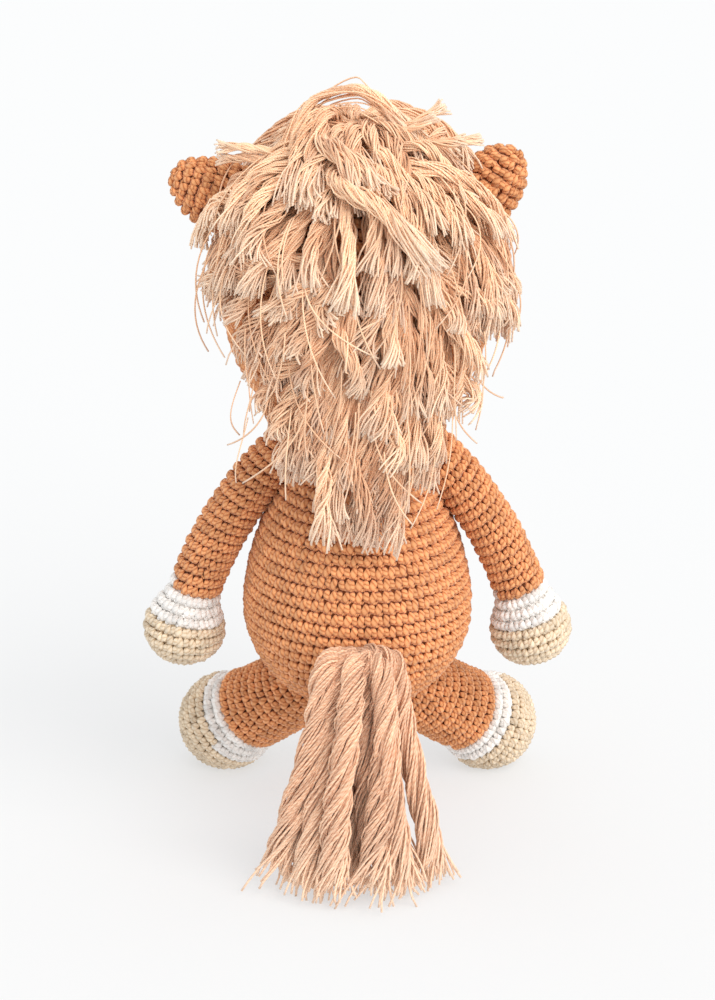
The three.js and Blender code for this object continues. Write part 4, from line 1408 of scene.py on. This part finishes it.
def tier_lock(work, tier, azimuth, root_azimuth, start, end, layer, rng):
    """One lock of a tier, from its root to its frayed end."""
    mane = settings().mane
    t = np.linspace(0, 1, STEPS["lock"])
    shares = start + (end - start) * t
    knots = np.arange(len(tier["inner"]))
    at_share = np.clip((shares - tier["start"]) / (end - tier["start"]), 0, 1) * knots[-1]
    inner, outer = (np.interp(at_share, knots, tier[k]) * mane.thickness for k in ("inner", "outer"))
    lift = mane.seat + inner + np.maximum(outer - inner, 0) * layer["height"]
    lift = np.maximum(lift, mane.seat + 0.6 * mane.lock_radius)
    # The root is tucked under its neighbours.
    lift = mane.seat + (lift - mane.seat) * np.clip(t / 0.25, 0, 1) ** 0.7
    wave = math.pi * t * rng.uniform(1, 2.5) + rng.uniform(0, 6)
    tip = layer["tip"] * rng.uniform(0, 2) * mane.thickness
    lift = lift + mane.lock_radius * 0.7 * np.sin(wave) * np.clip(t / 0.3, 0, 1) + tip * t**3
    sway = rng.normal(0, 5) * np.sin(math.pi * t * rng.uniform(0.8, 1.8) + rng.uniform(0, 6)) * t
    azimuths = azimuth + (root_azimuth - azimuth) * (1 - t) ** rng.uniform(1.4, 2.4)
    # Where they hang free the locks gather towards the middle.
    azimuths = azimuths * (1 - mane.gather_share * np.clip(shares - 1, 0, 1)) + sway
    line, outward = mane_place(azimuths, shares, lift)
    add_lock(
        work, line, outward, mane.lock_radius * rng.uniform(0.8, 1.2), mane, rng,
        layer["tone"] + rng.uniform(-0.2, 0.2), splay=rng.uniform(0.4, 1.1), flat=mane.flatness,
    )


def lay_tier_piece(node, tier, azimuth, end, seed, side=1):
    """The locks that stand for one node of the mane."""
    mane = settings().mane
    rng = draws(mane, seed)
    width = math.radians(tier["width"]) * settings().head.radius
    parting = math.degrees(mane.parting_width) / 2
    length_share = end - tier["start"]
    work = Yarnwork()
    for layer in MANE_LAYER_SHARES:
        locks = max(2, round(width / mane.lock_pitch * layer["fill"]))
        for k in range(locks):
            offset = ((k + 0.5) / locks - 0.5) * tier["width"] + rng.normal(0, 1.5)
            target = side * max(azimuth + offset, layer["clear"])
            root = side * parting * rng.uniform(0.4, 1.2) + target * rng.uniform(0.1, 0.5)
            start = tier["start"] + length_share * rng.uniform(*layer["starts"])
            stop = tier["start"] + length_share * rng.uniform(*layer["ends"])
            tier_lock(work, tier, target, root, start, stop, layer, rng)
    t = np.linspace(0, 1, STEPS["stray"])
    for _ in range(mane.strays):
        start = tier["start"] + rng.uniform(0.1, 0.6) * length_share
        shares = start + rng.uniform(0.25, 0.5) * t
        azimuths = side * (azimuth + rng.uniform(-0.5, 0.5) * tier["width"]) + rng.normal(0, 14) * t**2
        lift = mane.thickness * (0.9 + rng.uniform(0, 0.5) * np.sin(math.pi * t))
        line, outward = mane_place(azimuths, shares, lift)
        add_stray(work, line, outward, mane.thread_radius, rng)
    # The nape's long locks rest on the back, and are left in place in the frame rather than hung on the
    # head.
    x, y, z = joint_place("neck_nod")
    rests = ("neck", (x, y, z), (x, y, z - mane.rest_reach))
    bend = rests if end > mane.rest_share else None
    make_loose(work, f"{node}_locks", "mane", node, "head", bend)


# Locks that are laid one by one over the crown: azimuth from straight behind in degrees, share of
# the head's outline from the crown down, and lift in thicknesses of the mane.
CROWN_LOCK_SHARES = {
    "arch": [
        (-56, 0.34, 0.9), (-62, 0.26, 1.2), (-84, 0.14, 1.55), (-16, 0.08, 1.95), (20, 0.12, 1.85),
        (46, 0.17, 1.3), (54, 0.3, 0.9),
    ],
    "loop": [
        (-116, 0.1, 0.3), (-60, 0.1, 1.0), (-52, 0.14, 1.4), (-40, 0.22, 1.45), (-32, 0.34, 1.35),
        (-28, 0.42, 1.3), (-24, 0.56, 1.2),
    ],
    "centre": [(-60, 0.2, 0.8), (-32, 0.26, 1.1), (-12, 0.34, 1.45), (0, 0.42, 1.6), (6, 0.5, 1.3)],
    "clump": [
        (-6, 0.36, 0.6), (-12, 0.44, 1.2), (-8, 0.5, 1.5), (0, 0.54, 1.6), (8, 0.58, 1.6),
        (16, 0.66, 1.45), (26, 0.78, 1.35),
    ],
    "right tuft": [(34, 0.2, 0.9), (50, 0.26, 1.5), (62, 0.3, 2.3)],
    "right wisp": [(50, 0.28, 0.9), (64, 0.36, 1.5), (74, 0.42, 2.1)],
    "left wisp": [(-60, 0.35, 0.9), (-75, 0.42, 1.5), (-85, 0.48, 2.0)],
}
# These are three full locks each, and the others two thin ones
FULL_CROWN_LOCKS = ("loop", "centre", "clump")


def crown_line(waypoints, spread, rng):
    """A smooth line past places over the crown, each moved a little, and its outward directions."""
    places = np.array(waypoints, float)
    azimuths = places[:, 0] + rng.normal(0, 5 * spread)
    shares = places[:, 1] + rng.normal(0, 0.025 * spread)
    lifts = places[:, 2] * (1 + rng.normal(0, 0.12 * spread)) * settings().mane.thickness
    points, outward = mane_place(azimuths, np.maximum(shares, 0.01), lifts)
    return eased(points, STEPS["crown"]), unit(eased(outward, STEPS["crown"]))


class TOY_OT_lay_mane(bpy.types.Operator):
    """Lays the locks of the mane in tiers from the parting"""

    bl_idname = "toy.lay_mane"
    bl_label = "Lay Mane"

    def execute(self, context):
        seed = 0
        for tier_name, tier in MANE_TIER_SHARES.items():
            for side_name, side in SIDES.items():
                for k, azimuth in enumerate(tier["azimuths"]):
                    seed += 1
                    node = f"mane_{tier_name}_{side_name}_{k + 1}"
                    end = tier["ends"][k] - (tier["left_shorter"][k] if side < 0 else 0)
                    lay_tier_piece(node, tier, azimuth, end, seed, side)
        end, seed = FORELOCK_SHARES["end"], SEEDS["forelock"]
        lay_tier_piece("mane_forelock", FORELOCK_SHARES, 180, end, seed)
        self.tie_topknot()
        return {"FINISHED"}

    def tie_topknot(self):
        """Loops and short locks heaped over the crown, with some ends that stand up."""
        mane = settings().mane
        rng = draws(mane, SEEDS["topknot"])
        work = Yarnwork()
        t = np.linspace(0, 1, STEPS["lock"])
        for k in range(mane.crown_locks):
            azimuth = 360 * k / mane.crown_locks + rng.uniform(-8, 8)
            shares = 0.02 + rng.uniform(0.0, 0.08) + rng.uniform(0.26, 0.5) * t
            lift = mane.thickness * (0.3 + rng.uniform(0.5, 0.95) * np.sin(math.pi * (0.15 + 0.7 * t)))
            line, outward = mane_place(azimuth + rng.normal(0, 16) * t, shares, lift)
            add_lock(
                work, line, outward, mane.lock_radius, mane, rng, rng.uniform(0.35, 0.8),
                splay=rng.uniform(0.6, 1.3), flat=mane.flatness,
            )
        for name, waypoints in CROWN_LOCK_SHARES.items():
            copies, width = (3, 0.95) if name in FULL_CROWN_LOCKS else (2, 0.55)
            for _ in range(copies):
                line, outward = crown_line(waypoints, 0.7, rng)
                add_lock(
                    work, line, outward, mane.lock_radius * width, mane, rng, rng.uniform(0.4, 0.9),
                    splay=0.9, flat=mane.flatness,
                )
        for _ in range(mane.crown_strays):
            line, outward = crown_line(CROWN_LOCK_SHARES["arch"], 1.2, rng)
            add_stray(work, line, outward, mane.thread_radius, rng)
        make_loose(work, "mane_topknot_loops", "mane", "mane_topknot", "head")


# Tail

# The two rows of cords: how many, how far they reach back and sideways on the floor, as shares of
# the tail's reach and width, how far their middle cords stand apart, how pale they are and what
# picks how they fall. The paleness is painted shade: the inner row, behind the outer one, is darker
# as if in its shade.
TAIL_ROW_SHARES = {
    "outer": {"count": 6, "reach": 1.0, "width": 1.0, "bulge": 1.0, "tone": 0.65, "seed": 11},
    "inner": {"count": 4, "reach": 0.6, "width": 0.6, "bulge": 0.0, "tone": 0.15, "seed": 9},
}
# A cord's way from the roll to the floor, as shares of its end's place sideways, of its reach
# back and of the roll's height.
TAIL_WAY_SHARES = (
    (0.1, 0.06, 1.0),
    (0.28, 0.2, 1.03),
    (0.42, 0.42, 1.01),
    (0.48, 0.6, 0.9),
    (0.52, 0.72, 0.77),
    (0.66, 0.83, 0.56),
    (0.81, 0.91, 0.36),
    (0.94, 0.97, 0.17),
    (1.0, 1.0, 0.01),
)


def tail_line(row, k):
    """A cord's middle line from the roll to the floor, and the shares of its way."""
    tail, steps = settings().tail, STEPS["cord"]
    root = joint_place("tail_swing")
    place = (k - (row["count"] - 1) / 2) / row["count"]
    reach = row["reach"] * tail.reach * (1 - tail.arc_share * (2 * place) ** 2)
    end = np.array([place * tail.floor_width * row["width"], -reach - tail.roll_radius, root[2]])
    line = eased(np.array(TAIL_WAY_SHARES) * end, steps)
    t = np.linspace(0, 1, steps)
    inward = 1 - 2 * abs(place) * row["count"] / (row["count"] - 1)
    aside = math.copysign(tail.bulge * row["bulge"] * inward**2, place)
    line[:, 0] += aside * np.sin(math.pi * np.minimum(t / 0.85, 1))
    line[:, 1] += root[1] + tail.alternate * (-1) ** (k + 1) * np.sin(math.pi * t)
    return line, t


class TOY_OT_hang_tail(bpy.types.Operator):
    """Hangs the tail's thick cords from their roll down to the floor"""

    bl_idname = "toy.hang_tail"
    bl_label = "Hang Tail"

    def execute(self, context):
        tail = settings().tail
        for row_name, row in TAIL_ROW_SHARES.items():
            for k in range(row["count"]):
                rng = draws(tail, 10 * k + row["seed"])
                line, t = tail_line(row, k)
                wave = np.sin(math.pi * t * rng.uniform(1, 2))
                line[:, 0] += rng.normal(0, 0.3) * tail.cord_radius * wave
                line[:, 1] += rng.normal(0, 0.2) * tail.cord_radius * wave
                work = Yarnwork()
                add_lock(
                    work, line, np.broadcast_to(BACKWARDS, line.shape) + 0.4 * UP,
                    tail.cord_radius * rng.uniform(0.9, 1.1), tail, rng,
                    row["tone"] + rng.uniform(-0.2, 0.2),
                    sides=6, splay=rng.uniform(0.7, 1.2), flat=0.9, root=0.42, cut=0.11,
                )
                work.points[-1][:, 2] = np.maximum(work.points[-1][:, 2], tail.thread_radius / 4)
                node = f"tail_cord_{row_name}_{k + 1}"
                make_loose(work, f"{node}_threads", "tail", node, "tail")
        self.wind_roll()
        return {"FINISHED"}

    def wind_roll(self):
        """One short thin cord along the roll, which the tail's cords lie over."""
        tail = settings().tail
        rng = np.random.default_rng(tail.seed)
        root = joint_place("tail_swing")
        places = np.linspace(-0.3, 0.3, STEPS["roll"])[:, None]
        line = places * np.array([tail.roll_length, 0, 0]) + root
        work = Yarnwork()
        outward = np.broadcast_to(BACKWARDS, line.shape)
        add_lock(work, line, outward, tail.roll_radius * 0.7, tail, rng, 0.4, splay=0.0, flat=1.0)
        make_loose(work, "tail_roll_threads", "tail", "tail_roll", "tail")


# Inside


class TOY_OT_fill(bpy.types.Operator):
    """Gives the filling and the washers inside the covers their finishes"""

    bl_idname = "toy.fill"
    bl_label = "Fill Covers"

    def execute(self, context):
        fibre = settings().crochet.fibre
        # The darker fibre colour is painted shade in the depths of its bumps.
        fluff = fibre_and_shade_finish("polyester fibre", shaded(fibre, 0.8), shaded(fibre))
        plastic = plastic_finish("washer plastic", (0.68, 0.68, 0.66), 0.4)
        for name, node in frame["nodes"].items():
            if name.endswith("_filling") or name.startswith("eye_washer"):
                for slot in node.material_slots:
                    slot.material = fluff if name.endswith("_filling") else plastic
        return {"FINISHED"}


# Stage


def away_from_horse(azimuth, elevation):
    """The way from the horse: its azimuth from straight behind to the right, and above level."""
    level = math.cos(elevation)
    return Vector((level * math.sin(azimuth), -level * math.cos(azimuth), math.sin(elevation)))


class TOY_OT_set_stage(bpy.types.Operator):
    """Sets a pale floor, soft studio light and the camera behind the horse"""

    bl_idname = "toy.set_stage"
    bl_label = "Set Stage"

    def execute(self, context):
        stage = settings().stage
        middle = Vector((0, body_middle()[1], stage.camera_aim))
        self.lay_floor(stage)
        self.light_world(stage)
        self.hang_lamp(middle, stage)
        away = away_from_horse(0, stage.camera_elevation)
        data = bpy.data.cameras.new("camera")
        data.sensor_fit = "VERTICAL"
        data.sensor_height = 36
        data.lens = stage.camera_lens
        data.clip_end = 50
        camera = put("camera", data)
        camera.location = middle + away * stage.camera_distance
        camera.rotation_euler = (-away).to_track_quat("-Z", "Y").to_euler()
        context.scene.camera = camera
        context.scene.view_settings.view_transform = "Standard"
        return {"FINISHED"}

    def lay_floor(self, stage):
        """A floor that is lit from below as well, so that it keeps only a faint shadow."""
        material, tree, shader = new_finish("studio floor")
        feed(
            tree,
            shader,
            {
                "Base Color": shaded(stage.floor, 1 - stage.floor_glow),
                "Roughness": 0.95,
                "Specular IOR Level": 0.0,
                "Emission Color": shaded(stage.floor),
                "Emission Strength": stage.floor_glow,
            },
        )
        mesh = bpy.data.meshes.new("floor")
        half = stage.floor_half_width
        corners = [(-half, -half, 0), (half, -half, 0), (half, half, 0), (-half, half, 0)]
        mesh.from_pydata(corners, [], [(0, 1, 2, 3)])
        mesh.materials.append(material)
        put("floor", mesh)

    def light_world(self, stage):
        """White behind the object, and a softer light on it."""
        world = bpy.data.worlds.new("studio")
        bpy.context.scene.world = world
        world.use_nodes = True
        tree = world.node_tree
        tree.nodes.clear()
        path = new_node(tree, "ShaderNodeLightPath").outputs
        seen = math_node(tree, "MAXIMUM", path["Is Camera Ray"], path["Is Glossy Ray"])
        soft = {"Color": shaded(stage.sky_colour), "Strength": stage.sky_strength}
        mix = new_node(tree, "ShaderNodeMixShader")
        wire(tree, seen, mix.inputs[0])
        for place, inputs in ((1, soft), (2, {"Color": shaded(stage.backdrop)})):
            wire(tree, new_node(tree, "ShaderNodeBackground", inputs).outputs[0], mix.inputs[place])
        new_node(tree, "ShaderNodeOutputWorld", {"Surface": mix.outputs[0]})

    def hang_lamp(self, middle, stage):
        """One broad soft lamp, right of the camera and above it."""
        data = bpy.data.lights.new("key light", "SUN")
        data.energy = stage.lamp_strength
        data.angle = stage.lamp_width
        data.color = stage.lamp_colour
        away = away_from_horse(stage.lamp_azimuth, stage.lamp_elevation)
        lamp = put("key light", data)
        lamp.location = middle + away * stage.camera_distance
        lamp.rotation_euler = away.to_track_quat("Z", "Y").to_euler()


OPERATORS = (
    TOY_OT_crochet_body,
    TOY_OT_crochet_arms,
    TOY_OT_crochet_legs,
    TOY_OT_crochet_head,
    TOY_OT_crochet_muzzle,
    TOY_OT_crochet_ears,
    TOY_OT_sew_neck,
    TOY_OT_set_eyes,
    TOY_OT_lay_mane,
    TOY_OT_hang_tail,
    TOY_OT_fill,
    TOY_OT_set_stage,
)


class TOY_PT_horse(bpy.types.Panel):
    """Lists the sizes of the horse and the steps that make it"""

    bl_label = "Plush Horse"
    bl_idname = "TOY_PT_horse"
    bl_space_type = "VIEW_3D"
    bl_region_type = "UI"
    bl_category = "Plush Horse"

    def draw(self, context):
        horse = context.scene.plush_horse
        for name, kind in SETTINGS.items():
            box = self.layout.box()
            box.label(text=name.capitalize())
            for prop in kind.__annotations__:
                box.prop(getattr(horse, name), prop)
        for operator in OPERATORS:
            self.layout.operator(operator.bl_idname)


def register():
    for kind in (*SETTINGS.values(), HorseSettings, *OPERATORS, TOY_PT_horse):
        bpy.utils.register_class(kind)
    bpy.types.Scene.plush_horse = PointerProperty(type=HorseSettings)


def unregister():
    del bpy.types.Scene.plush_horse
    for kind in reversed((*SETTINGS.values(), HorseSettings, *OPERATORS, TOY_PT_horse)):
        bpy.utils.unregister_class(kind)


def main():
    register()
    for operator in OPERATORS:
        step = operator.bl_idname.split(".")[1]
        getattr(bpy.ops.toy, step)()


if __name__ == "__main__":
    main()
